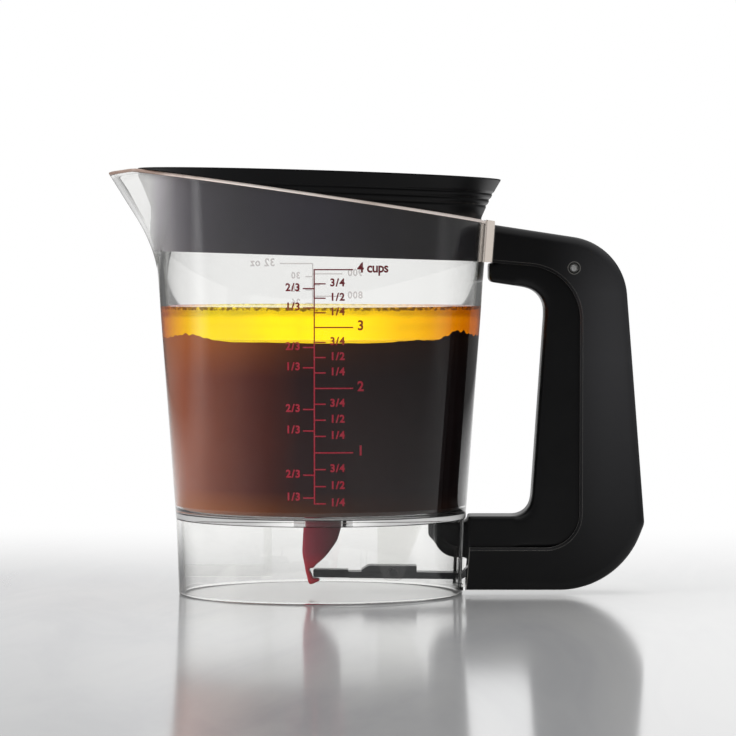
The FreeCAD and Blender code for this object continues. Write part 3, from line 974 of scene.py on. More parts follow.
@dataclass
class Graduations:
    """The printed scales: cups with their quarters and thirds in front, ounces and millilitres behind."""

    form: JugForm = field(default_factory=JugForm)
    line_w: float = 0.48
    ink_t: float = 0.03
    ink_stand: float = 0.01
    slice_w: float = 1.5
    slice_h: float = 8.0
    letter_h: float = 2.85
    whole_letter_h: float = 3.7
    letter_size: float = 1.38
    letter_spacing: float = 1.15
    word_spacing: float = 0.94
    letter_width: float = 0.97
    letter_weight: float = 0.13
    text_raise: float = 0.6
    whole_raise: float = 0.3
    right_gap: float = 1.6
    left_gap: float = 1.0
    axis_line_x: float = -1.68
    long_tick: float = 14.4
    short_tick: float = 4.2
    back_raise: float = 2.1
    back_axis_x: float = 4.1
    back_tick: float = 13.6
    back_gap: float = 2.2
    back_minor_share: float = 0.7
    back_letter_share: float = 0.9
    back_whole_share: float = 0.85

    def height_for(self, cups: float) -> float:
        """Height of the surface when the jug holds so many cups.

        Args:
            cups: how many US cups.
        Returns:
            The height.
        """
        slope, start = self.form.bore_slope, self.form.bore_r_at_floor
        volume = cups * US_CUP_MM3
        return self.form.floor_top_z + ((3 * slope * volume / math.pi + start**3) ** (1 / 3) - start) / slope

    def bar(self, x_low: float, x_high: float, z_low: float, z_high: float) -> Shape:
        """A flat bar of ink in the plane of the print, in slices short enough to follow the wall.

        Args:
            x_low: its left edge.
            x_high: its right edge.
            z_low: its lower edge.
            z_high: its upper edge.
        Returns:
            Its points and faces.
        """
        across = max(2, int((x_high - x_low) / self.slice_w) + 2)
        rows = max(2, int((z_high - z_low) / self.slice_h) + 2)
        points, faces = [], []
        for depth in (0.0, self.ink_t):
            for z in spread(z_low, z_high, rows):
                points += [(x, z, depth) for x in spread(x_low, x_high, across)]
        layer = across * rows
        for row in range(rows - 1):
            for i in range(across - 1):
                a = row * across + i
                quad = (a, a + 1, a + across + 1, a + across)
                faces += [quad, tuple(layer + c for c in reversed(quad))]
        border = [(i, i + 1) for i in range(across - 1)]
        border += [(layer - across + i + 1, layer - across + i) for i in range(across - 1)]
        border += [((row + 1) * across, row * across) for row in range(rows - 1)]
        border += [(row * across + across - 1, (row + 1) * across + across - 1) for row in range(rows - 1)]
        faces += [(b, a, layer + a, layer + b) for a, b in border]
        return points, faces

    def words(self, text: str, x: float, z: float, height: float, align: str) -> Shape:
        """Letters as flat closed shapes in the plane of the print.

        Args:
            text: what they say.
            x: where they start, or end when aligned to the right.
            z: height of the tick that they stand beside.
            height: their own height.
            align: LEFT or RIGHT.
        Returns:
            Their points and faces.
        """
        curve = bpy.data.curves.new("words", "FONT")
        curve.body = text
        curve.size = height * self.letter_size
        curve.align_x = align
        curve.resolution_u = 3
        curve.space_character = self.word_spacing if "cups" in text else self.letter_spacing
        curve.offset = self.letter_weight
        curve.extrude = self.ink_t / 2
        mesh = plain_mesh(add_object("words", curve))
        foot = z + self.text_raise
        points = [
            (x + v.co.x * self.letter_width, foot + v.co.y - height / 2, v.co.z + self.ink_t / 2)
            for v in mesh.vertices
        ]
        faces = [tuple(f.vertices) for f in mesh.polygons]
        bpy.data.curves.remove(curve)
        bpy.data.meshes.remove(mesh)
        return points, faces

    def wrap(self, x: float, z: float, depth: float, side: Side) -> Point:
        """Lays a point of the flat print on the tapered wall.

        Args:
            x: distance along the wall from the middle of the print.
            z: height.
            depth: distance out from the ink's underside.
            side: the side of the jug.
        Returns:
            The point.
        """
        radius = self.form.body_r(z) + self.ink_stand + depth
        turn = x / self.form.body_r(z)
        out = side.value
        return (-out * radius * math.sin(turn), out * radius * math.cos(turn), z)

    def front_marks(self) -> list[Shape]:
        """The cup scale: a long line, ticks at quarters to its right and at thirds to its left.

        Returns:
            The flat marks.
        """
        line, half = self.axis_line_x, self.line_w / 2
        marks = [self.bar(line - half, line + half, self.height_for(0.25) - half, self.height_for(4) + half)]
        for quarter in range(1, 17):
            z = self.height_for(quarter / 4)
            whole = quarter % 4 == 0
            reach = self.long_tick if whole else self.short_tick
            marks.append(self.bar(line + half, line + reach, z - half, z + half))
            label = ("", "1/4", "1/2", "3/4")[quarter % 4]
            raised, tall = z, self.letter_h
            if whole:
                label = "4 cups" if quarter == 16 else str(quarter // 4)
                raised, tall = z + self.whole_raise, self.whole_letter_h
            marks.append(self.words(label, line + reach + self.right_gap, raised, tall, "LEFT"))
        for third in [t for t in range(1, 12) if t % 3]:
            z = self.height_for(third / 3)
            end = line - self.short_tick
            marks.append(self.bar(end, line - half, z - half, z + half))
            marks.append(self.words(f"{third % 3}/3", end - self.left_gap, z, self.letter_h, "RIGHT"))
        return marks

    def back_marks(self) -> list[Shape]:
        """The other scale: ounces to one side of the line and millilitres to the other.

        Returns:
            The flat marks.
        """
        line, half, minor = self.back_axis_x, self.line_w / 2, self.short_tick * self.back_minor_share
        low, high = (self.height_for(cups) + self.back_raise for cups in (0.25, 4.0))
        marks = [self.bar(line - half, line + half, low - half, high + half)]
        for ounces in range(2, 33, 2):
            z = self.height_for(ounces / OUNCES_IN_A_CUP) + self.back_raise
            whole = ounces % OUNCES_IN_A_CUP == 0
            reach = self.back_tick if whole else minor
            marks.append(self.bar(line + half, line + reach, z - half, z + half))
            label = f"{ounces} oz" if ounces == 32 else str(ounces)
            tall = self.letter_h * self.back_letter_share
            if whole:
                tall = self.whole_letter_h * self.back_whole_share
            marks.append(self.words(label, line + reach + self.back_gap, z, tall, "LEFT"))
        for millilitres in range(100, 950, 50):
            z = self.height_for(millilitres * 1000 / US_CUP_MM3) + self.back_raise
            whole = millilitres % 100 == 0
            reach = self.back_tick * self.back_letter_share if whole else minor
            marks.append(self.bar(line - reach, line - half, z - half, z + half))
            if whole:
                end = line - reach - self.back_gap
                marks.append(self.words(str(millilitres), end, z, self.letter_h, "RIGHT"))
        return marks

    def build(self, name: str, marks: list[Shape], side: Side, material: Material) -> Object:
        """Joins the marks of one scale and wraps them on the wall.

        Args:
            name: the piece's name.
            marks: the flat marks.
            side: the side of the jug.
            material: the ink.
        Returns:
            The print.
        """
        points: list[Point] = []
        faces: list[tuple[int, ...]] = []
        for mark_points, mark_faces in marks:
            start = len(points)
            points += [self.wrap(x, z, depth, side) for x, z, depth in mark_points]
            faces += [tuple(start + c for c in face) for face in mark_faces]
        piece = mesh_object(name, points, faces, material, smooth_below_deg=30)
        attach(piece, "jug")
        return piece

    def dress(self, front_ink: Material, back_ink: Material) -> list[Object]:
        """Prints both scales on the jug.

        Args:
            front_ink: the ink of the cup scale.
            back_ink: the ink of the other scale.
        Returns:
            The prints.
        """
        return [
            self.build("cup_scale_print", self.front_marks(), Side.FRONT, front_ink),
            self.build("ounce_scale_print", self.back_marks(), Side.BACK, back_ink),
        ]


# ---- Strainer lid ----


@dataclass
class StrainerLid:
    """The black funnel lid with its perforated basket, sitting in the jug's sloping rim."""

    form: JugForm = field(default_factory=JugForm)
    tilt_deg: float = 1.8
    axis_x: float = -0.8
    wall: float = 2.0
    edge: float = 0.35
    top_r: float = 69.7
    top_z: float = 160.7
    height: float = 31.4
    flare: float = 7.1
    flare_h: float = 14.7
    flare_bend: float = 0.2
    seat_r: float = 37.8
    seat_h: float = 6.7
    ledge: float = 5.3
    funnel_h: float = 20.2
    gap: float = 0.35
    columns: int = 256
    skirt_rows: int = 10
    flare_rows: int = 60
    flare_from_z: float = 143.0
    inner_rows: int = 8
    bore_rows: int = 6
    seam_limit: float = 0.4
    seam_halvings: int = 40
    rib_heights: tuple[float, ...] = (155.2, 152.9, 150.6)
    rib_depth: float = 0.4
    rib_half: float = 0.75
    basket_r: float = 32.0
    basket_drop: float = 4.6
    basket_t: float = 1.6
    basket_lip: float = 1.2
    basket_edge: float = 0.4
    basket_columns: int = 96
    basket_gap: float = 0.05
    plate_overlap: float = 0.3
    hole_r: float = 1.8
    hole_pitch: float = 8.4

    def flare_r(self, z: float) -> float:
        """Outer radius of the lid, in its own upright frame, without its ribs.

        Args:
            z: the height in the lid's own frame.
        Returns:
            The radius.
        """
        neck_r = self.top_r - self.flare
        share = max((z - (self.top_z - self.flare_h)) / self.flare_h, 0.0)
        return neck_r + self.flare * ((1 - self.flare_bend) * share + self.flare_bend * share**2)

    def outer_r(self, z: float) -> float:
        """Outer radius with the shallow grooves between the grip ribs.

        Args:
            z: the height in the lid's own frame.
        Returns:
            The radius.
        """
        radius = self.flare_r(z)
        for rib_z in self.rib_heights:
            off = abs(z - rib_z) / self.rib_half
            if off < 1:
                radius -= self.rib_depth * (0.5 + 0.5 * math.cos(math.pi * off))
        return radius

    def leaned(self, point: Point) -> Point:
        """A point of the upright lid, leaned as the lid sits in the jug.

        Args:
            point: the point in the lid's own frame.
        Returns:
            The point in the jug's frame.
        """
        x, y, z = point
        turn = math.radians(self.tilt_deg)
        pivot = self.form.rim_z_on_axis
        x += self.axis_x
        over = z - pivot
        return (
            x * math.cos(turn) + over * math.sin(turn),
            y,
            pivot - x * math.sin(turn) + over * math.cos(turn),
        )

    def fitted(self, radius: float, angle: float, z: float, inset: float, below: bool) -> Point:
        """A point of the leaned lid, drawn in to the jug's bore where it lies below the rim.

        Args:
            radius: distance from the lid's axis.
            angle: angle round it.
            z: height in the lid's own frame.
            inset: distance in from the lid's outside.
            below: whether the point lies below the rim.
        Returns:
            The point in the jug's frame.
        """
        x, y, high = self.leaned(at(radius, angle, z))
        if not below:
            return (x, y, high)
        room = self.form.radius(math.atan2(y, x), high, self.form.wall + self.gap + inset)
        share = min(1.0, room / math.hypot(x, y))
        return (x * share, y * share, high)

    def rim_height(self, angle: float) -> float:
        """Height in the lid's own frame at which its outside passes the jug's rim.

        Args:
            angle: the angle round the axis.
        Returns:
            The height, found by halving.
        """
        low, high = self.top_z - self.height, self.top_z - self.seam_limit
        for _ in range(self.seam_halvings):
            middle = (low + high) / 2
            x, _, z = self.leaned(at(self.flare_r(middle), angle, middle))
            if z < self.form.rim_z(x) + self.gap:
                low = middle
            else:
                high = middle
        return low

    def column(self, angle: float) -> list[Point]:
        """The collar's closed profile: up the outside, down the inside, and in to the seat and back.

        Args:
            angle: the profile's angle round the axis.
        Returns:
            Its points.
        """
        low, top, edge, wall = self.top_z - self.height, self.top_z, self.edge, self.wall
        seam_z = self.rim_height(angle)
        points = [self.fitted(self.flare_r(low) - edge, angle, low, 0, True)]
        for z in spread(low + edge, seam_z, self.skirt_rows):
            points.append(self.fitted(self.flare_r(z), angle, z, 0, True))
        for z in [seam_z] + spread(self.flare_from_z, top - edge, self.flare_rows):
            z = max(z, seam_z)
            points.append(self.fitted(self.outer_r(z), angle, z, 0, False))
        for drawn in (edge * 0.7, wall - edge):
            points.append(self.leaned(at(self.outer_r(top) - drawn, angle, top)))
        slope = (self.funnel_h - self.seat_h) / (self.top_r - self.flare / 2 - self.seat_r)
        inner_low = low + self.seat_h + slope * (self.top_r - self.flare - wall - self.seat_r)
        step_z = min(max(seam_z + wall * 0.8, inner_low), top - edge)
        above = spread(top - edge, step_z, self.inner_rows)
        beneath = spread(step_z, inner_low, self.bore_rows)
        for heights, below in ((above, False), (beneath, True)):
            points += [self.fitted(self.flare_r(z) - wall, angle, z, wall, below) for z in heights]
        wall_r = math.hypot(points[-1][0], points[-1][1])
        for lift in (0.0, -wall):
            seat_z = low + self.seat_h + lift
            ring = [(wall_r, low + self.seat_h + slope * (wall_r - self.seat_r) + lift)]
            ring += [(self.seat_r, seat_z), (self.seat_r - self.ledge, seat_z)]
            points += [self.leaned(at(r, angle, z)) for r, z in (reversed(ring) if lift else ring)]
        points.append(self.fitted(self.flare_r(low) - wall, angle, low, wall, True))
        return points

    def build_collar(self, material: Material) -> Object:
        """Builds the funnel with its ledge and grip ribs.

        Args:
            material: its finish.
        Returns:
            The collar.
        """
        piece = ring_skin("lid_collar_ribbed", self.column, material, self.columns, smooth_below_deg=40)
        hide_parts("lid_collar")
        return piece

    def hole_places(self) -> list[tuple[float, float]]:
        """Centres of the strainer's holes, in rows half a pitch apart.

        Returns:
            X and Y of each.
        """
        inner = self.basket_r - 2 * self.basket_t
        pitch_y = self.hole_pitch * math.sin(math.pi / 3)
        rows = int(self.basket_r / pitch_y)
        places = []
        for row in range(-rows, rows + 1):
            for column in range(-rows - 1, rows + 2):
                x = (column + (row % 2) / 2) * self.hole_pitch
                if math.hypot(x, row * pitch_y) + self.hole_r < inner:
                    places.append((x, row * pitch_y))
        return places

    def plate_tree(self) -> GeometryNodeTree:
        """Geometry nodes that punch a round hole in a disc at every point of the object.

        Returns:
            The tree.
        """
        sockets = {"Holes": "Geometry", "Disc Radius": "Float", "Hole Radius": "Float", "Thickness": "Float"}
        tree = geometry_tree("perforated_plate", sockets)
        given = add_node(tree, "NodeGroupInput").outputs
        rings = []
        for radius, corners in (("Hole Radius", 20), ("Disc Radius", self.basket_columns)):
            ring = {"Resolution": corners, "Radius": given[radius]}
            rings.append(add_node(tree, "GeometryNodeCurvePrimitiveCircle", ring))
        hole, disc = rings
        punched = add_node(tree, "GeometryNodeInstanceOnPoints", {"Points": given["Holes"], "Instance": hole})
        loose = add_node(tree, "GeometryNodeRealizeInstances", {0: punched})
        both = add_node(tree, "GeometryNodeJoinGeometry", {0: disc})
        tree.links.new(loose.outputs[0], both.inputs[0])
        sheet = add_node(tree, "GeometryNodeFillCurve", {"Curve": both})
        under = add_node(tree, "GeometryNodeFlipFaces", {0: sheet})
        pull = {"Mesh": sheet, "Offset Scale": given["Thickness"], "Individual": False}
        raised = add_node(tree, "GeometryNodeExtrudeMesh", pull)
        closed = add_node(tree, "GeometryNodeJoinGeometry", {0: raised})
        tree.links.new(under.outputs[0], closed.inputs[0])
        welded = add_node(tree, "GeometryNodeMergeByDistance", {"Geometry": closed, "Distance": WELD})
        finish_tree(tree, welded, given["Finish"])
        return tree

    def build_strainer(self, material: Material) -> Object:
        """Builds the basket: a lipped ring, and a floor punched by geometry nodes.

        Args:
            material: its finish.
        Returns:
            The basket.
        """
        seat_z = self.top_z - self.height + self.seat_h + self.basket_gap
        low, lip_z = seat_z - self.basket_drop, seat_z + self.basket_lip
        edge, outer, rim_r = self.basket_edge, self.basket_r, self.seat_r - self.gap
        inner = self.basket_r - self.basket_t
        sizes = {
            "Disc Radius": (inner + self.plate_overlap) * MM,
            "Hole Radius": self.hole_r * MM,
            "Thickness": self.basket_t * MM,
        }
        seeds = [(x * MM, y * MM, 0.0) for x, y in self.hole_places()]
        plate = grown("plate", self.plate_tree(), sizes, material, seeds)
        profile = [(outer - edge, low), (outer, low + edge), (outer, seat_z)]
        profile += [(rim_r - edge / 2, seat_z), (rim_r, seat_z + edge / 2), (rim_r, lip_z - edge)]
        profile += [(rim_r - edge, lip_z), (inner + edge, lip_z), (inner, lip_z - edge), (inner, low)]
        points = [at(r, angle, z) for angle in turn_angles(self.basket_columns) for r, z in profile]
        faces = loop_faces(self.basket_columns, len(profile))
        faces += [tuple(len(points) + c for c in face.vertices) for face in plate.data.polygons]
        points += [(x, y, z + low) for x, y, z in (v.co / MM for v in plate.data.vertices)]
        bpy.data.objects.remove(plate)
        piece = mesh_object("lid_strainer_punched", [self.leaned(p) for p in points], faces, material)
        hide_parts("lid_strainer")
        return piece

    def behind_wall(self, tree: NodeTree, where: NodeSocket, colour: NodeSocket) -> NodeSocket:
        """Paints light on what lies below the rim and faces outward: grey, brightest at the spout's side, for
        the light seen on the lid through the clear wall.

        Args:
            tree: the material's tree.
            where: the piece's coordinates.
            colour: the colour above the rim.
        Returns:
            The colour of the whole lid.
        """
        place = add_node(tree, "ShaderNodeSeparateXYZ", {0: where}).outputs
        fall = {0: place["X"], 1: self.form.rim_fall, 2: place["Z"]}
        level = add_node(tree, "ShaderNodeMath", fall, operation="MULTIPLY_ADD")
        rim = self.form.rim_z_on_axis * MM
        span = {0: level, 1: rim - 1 * MM, 2: rim + 0.2 * MM, 3: 1.0, 4: 0.0}
        below = add_node(tree, "ShaderNodeMapRange", span)
        flat = add_node(tree, "ShaderNodeVectorMath", {0: where, 1: (1.0, 1.0, 0.0)}, operation="MULTIPLY")
        outward = add_node(tree, "ShaderNodeVectorMath", {0: flat}, operation="NORMALIZE")
        faced = {0: outward, 1: add_node(tree, "ShaderNodeNewGeometry").outputs["Normal"]}
        turned = add_node(tree, "ShaderNodeVectorMath", faced, operation="DOT_PRODUCT").outputs["Value"]
        outer = add_node(tree, "ShaderNodeMapRange", {0: turned, 1: 0.2, 2: 0.5})
        shown = add_node(tree, "ShaderNodeMath", {0: below, 1: outer}, operation="MULTIPLY")
        across = add_node(tree, "ShaderNodeMapRange", {0: place["X"], 1: -64 * MM, 2: 64 * MM})
        # Painted light, white at the spout's end and darker grey towards the handle.
        spout_end = [(0.0, "#ffffff"), (0.03, "#e0dce2"), (0.09, "#8f8b92"), (0.14, "#625f66")]
        handle_end = [(0.26, "#535156"), (0.5, "#4f4c56"), (0.75, "#4b494d"), (0.93, "#3d3c40")]
        lit = add_node(tree, "ShaderNodeValToRGB", {"Fac": across}, spout_end + handle_end)
        return add_node(tree, "ShaderNodeMix", {0: shown, 6: colour, 7: lit}, data_type="RGBA").outputs[2]

    def dress(self, material: Material) -> list[Object]:
        """Builds the lid's two pieces and seats them.

        Args:
            material: their finish.
        Returns:
            The pieces.
        """
        pieces = [self.build_collar(material), self.build_strainer(material)]
        for piece in pieces:
            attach(piece, "lid")
        return pieces


# ---- Handle, trigger, lever and stopper ----


@dataclass
class SqueezeHandle:
    """The black grip, its trigger, the pin and the return spring."""

    pin_x: float = 96.5
    pin_z: float = 124.8
    pin_r: float = 1.5
    pin_half: float = 11.8
    pin_edge: float = 0.35
    pin_sides: int = 40
    voxel: float = 0.6
    soften: int = 40
    toe_x: float = 74.0
    # Painted sheen: this grey is painted on the grip towards the back and upwards, for the light that falls
    # there.
    worn: str = "#414143"
    palm_x: tuple[float, float] = (82.0, 112.0)
    palm_z: tuple[float, float] = (5.0, 90.0)
    shoulder_z: tuple[float, float] = (115.0, 142.0)
    spring_low_x: float = 105.8
    spring_high_x: float = 115.46
    spring_z: float = 70.0
    spring_r: float = 3.4
    spring_wire_r: float = 0.36
    spring_turns: float = 4.0
    spring_keep: float = 0.5

    def build_pin(self, steel: Material) -> Object:
        """Builds the turned pin along Y with domed ends, in place of its plain solid.

        Args:
            steel: its finish.
        Returns:
            The pin.
        """
        half = self.pin_half
        dome = [(self.pin_r * rise, self.pin_edge * drawn) for rise, drawn in quarter_round(6)]
        profile = [(r, -half + off) for r, off in dome] + [(r, half - off) for r, off in reversed(dome)]
        points = []
        for angle in turn_angles(self.pin_sides):
            out, up = math.cos(angle), math.sin(angle)
            points += [(self.pin_x + r * out, y, self.pin_z + r * up) for r, y in profile]
        faces = loop_faces(self.pin_sides, len(profile), closed=False)
        piece = mesh_object("trigger_pin_turned", points, faces, steel, smooth_below_deg=30)
        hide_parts("trigger_pin")
        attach(piece, "jug")
        return piece

    def coil_tree(self) -> GeometryNodeTree:
        """Geometry nodes that wind a round wire into a spring along X.

        Returns:
            The tree.
        """
        sockets = {"Turns": "Float", "Coil Radius": "Float", "Wire Radius": "Float", "Length": "Float"}
        tree = geometry_tree("coil_spring", sockets | {"Start": "Vector"})
        given = add_node(tree, "NodeGroupInput").outputs
        sizes = {
            "Resolution": 32,
            "Rotations": given["Turns"],
            "Start Radius": given["Coil Radius"],
            "End Radius": given["Coil Radius"],
            "Height": given["Length"],
        }
        line = add_node(tree, "GeometryNodeCurveSpiral", sizes)
        round_wire = {"Resolution": 12, "Radius": given["Wire Radius"]}
        wire = add_node(tree, "GeometryNodeCurvePrimitiveCircle", round_wire)
        wound = {"Curve": line, "Profile Curve": wire, "Fill Caps": True}
        coil = add_node(tree, "GeometryNodeCurveToMesh", wound)
        laid = {"Geometry": coil, "Translation": given["Start"], "Rotation": (0.0, math.pi / 2, 0.0)}
        finish_tree(tree, add_node(tree, "GeometryNodeTransform", laid), given["Finish"])
        return tree

    def build_spring(self, steel: Material) -> Object:
        """Winds the return spring at rest; in the real jug it is pressed together as the trigger is squeezed.

        Args:
            steel: its finish.
        Returns:
            The spring.
        """
        sizes = {
            "Turns": self.spring_turns,
            "Coil Radius": self.spring_r * MM,
            "Wire Radius": self.spring_wire_r * MM,
            "Length": (self.spring_high_x - self.spring_low_x) * MM,
            "Start": (self.spring_low_x * MM, 0.0, self.spring_z * MM),
        }
        spring = grown("trigger_spring_coiled", self.coil_tree(), sizes, steel)
        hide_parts("trigger_spring")
        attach(spring, "jug")
        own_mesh(spring)
        return spring

    def palm_wear(self, tree: NodeTree, where: NodeSocket, colour: NodeSocket) -> NodeSocket:
        """Paints a grey sheen on the rubber towards the back and upwards, fading near the top, where light
        falls on the handle.

        Args:
            tree: the material's tree.
            where: the piece's coordinates.
            colour: the rubber's own colour.
        Returns:
            The colour with its painted sheen.
        """
        # Painted sheen, by height and by distance towards the back.
        place = add_node(tree, "ShaderNodeSeparateXYZ", {0: where}).outputs
        low, high = (x * MM for x in self.palm_x)
        span = {0: place["X"], 1: low, 2: high}
        back = add_node(tree, "ShaderNodeMapRange", span, interpolation_type="SMOOTHSTEP")
        low, high = (z * MM for z in self.palm_z)
        up = add_node(tree, "ShaderNodeMapRange", {0: place["Z"], 1: low, 2: high})
        low, high = (z * MM for z in self.shoulder_z)
        top = add_node(tree, "ShaderNodeMapRange", {0: place["Z"], 1: low, 2: high, 3: 1.0, 4: 0.25})
        lit_share = add_node(tree, "ShaderNodeMath", {0: back, 1: up}, operation="MULTIPLY")
        shown = add_node(tree, "ShaderNodeMath", {0: lit_share, 1: top}, operation="MULTIPLY")
        mixed = {0: shown, 6: colour, 7: linear(self.worn)}
        return add_node(tree, "ShaderNodeMix", mixed, data_type="RGBA").outputs[2]

    def dress(self, nodes: Nodes, grip: Material, trigger: Material, steel: Material) -> list[Object]:
        """Finishes the shells and the trigger and builds the spring and the pin.

        Args:
            nodes: the part's solids.
            grip: the finish of the shells.
            trigger: the finish of the trigger.
            steel: the finish of the spring and the pin.
        Returns:
            The handle's pieces.
        """
        halves = (nodes["handle_shell_near"], nodes["handle_shell_far"])
        shells = [set_finish(half, grip) for half in halves]
        squeezed = softened(nodes["trigger"], "trigger_moulded", self.voxel, self.soften, trigger, self.toe_x)
        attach(squeezed, "trigger")
        return shells + [squeezed, self.build_spring(steel), self.build_pin(steel)]


@dataclass
class Drain:
    """The dark lever under the floor and the red stopper that it lifts."""

    voxel: float = 0.45
    soften: int = 10
    waist_z: float = 9.6
    waist_x: float = -6.1
    waist_pinch: float = 0.43
    waist_above: float = 3.2
    waist_below: float = 1.8
    arm_x: tuple[float, float] = (9.0, 12.0)
    arm_colour: str = "#0e0f10"

    def build_stopper(self, node: Object, material: Material) -> Object:
        """A soft-edged copy of the stopper's solid, drawn in to a waist where the lever's fork holds it.

        Args:
            node: the solid.
            material: the silicone.
        Returns:
            The stopper.
        """
        piece = softened(node, "stopper_moulded", self.voxel, self.soften, material)
        for corner in piece.data.vertices:
            x, _, z = corner.co / MM
            reach = self.waist_above if z > self.waist_z else self.waist_below
            pinch = 1 - self.waist_pinch * math.exp(-(((z - self.waist_z) / reach) ** 2))
            if x > self.waist_x:
                corner.co.x = (self.waist_x + (x - self.waist_x) * pinch) * MM
        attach(piece, "stopper")
        return piece

    def lever_shade(self, tree: NodeTree, where: NodeSocket, colour: NodeSocket) -> NodeSocket:
        """Deepens the lever's thin front arm, which sees less of the light than its hub.

        Args:
            tree: the material's tree.
            where: the piece's coordinates.
            colour: the colour of the hub.
        Returns:
            The colour of the whole lever.
        """
        place = add_node(tree, "ShaderNodeSeparateXYZ", {0: where})
        low, high = (x * MM for x in self.arm_x)
        arm = add_node(tree, "ShaderNodeMapRange", {0: place, 1: low, 2: high, 3: 1.0, 4: 0.0})
        mixed = {0: arm, 6: colour, 7: linear(self.arm_colour)}
        return add_node(tree, "ShaderNodeMix", mixed, data_type="RGBA").outputs[2]

    def dress(self, nodes: Nodes, lever: Material, silicone: Material) -> list[Object]:
        """Finishes the lever and its pin and builds the stopper.

        Args:
            nodes: the part's solids.
            lever: the finish of the lever and its pin.
            silicone: the finish of the stopper.
        Returns:
            The three pieces.
        """
        pieces = [set_finish(nodes[name], lever) for name in ("lever", "lever_pin")]
        return pieces + [self.build_stopper(nodes["stopper"], silicone)]


# ---- Contents ----


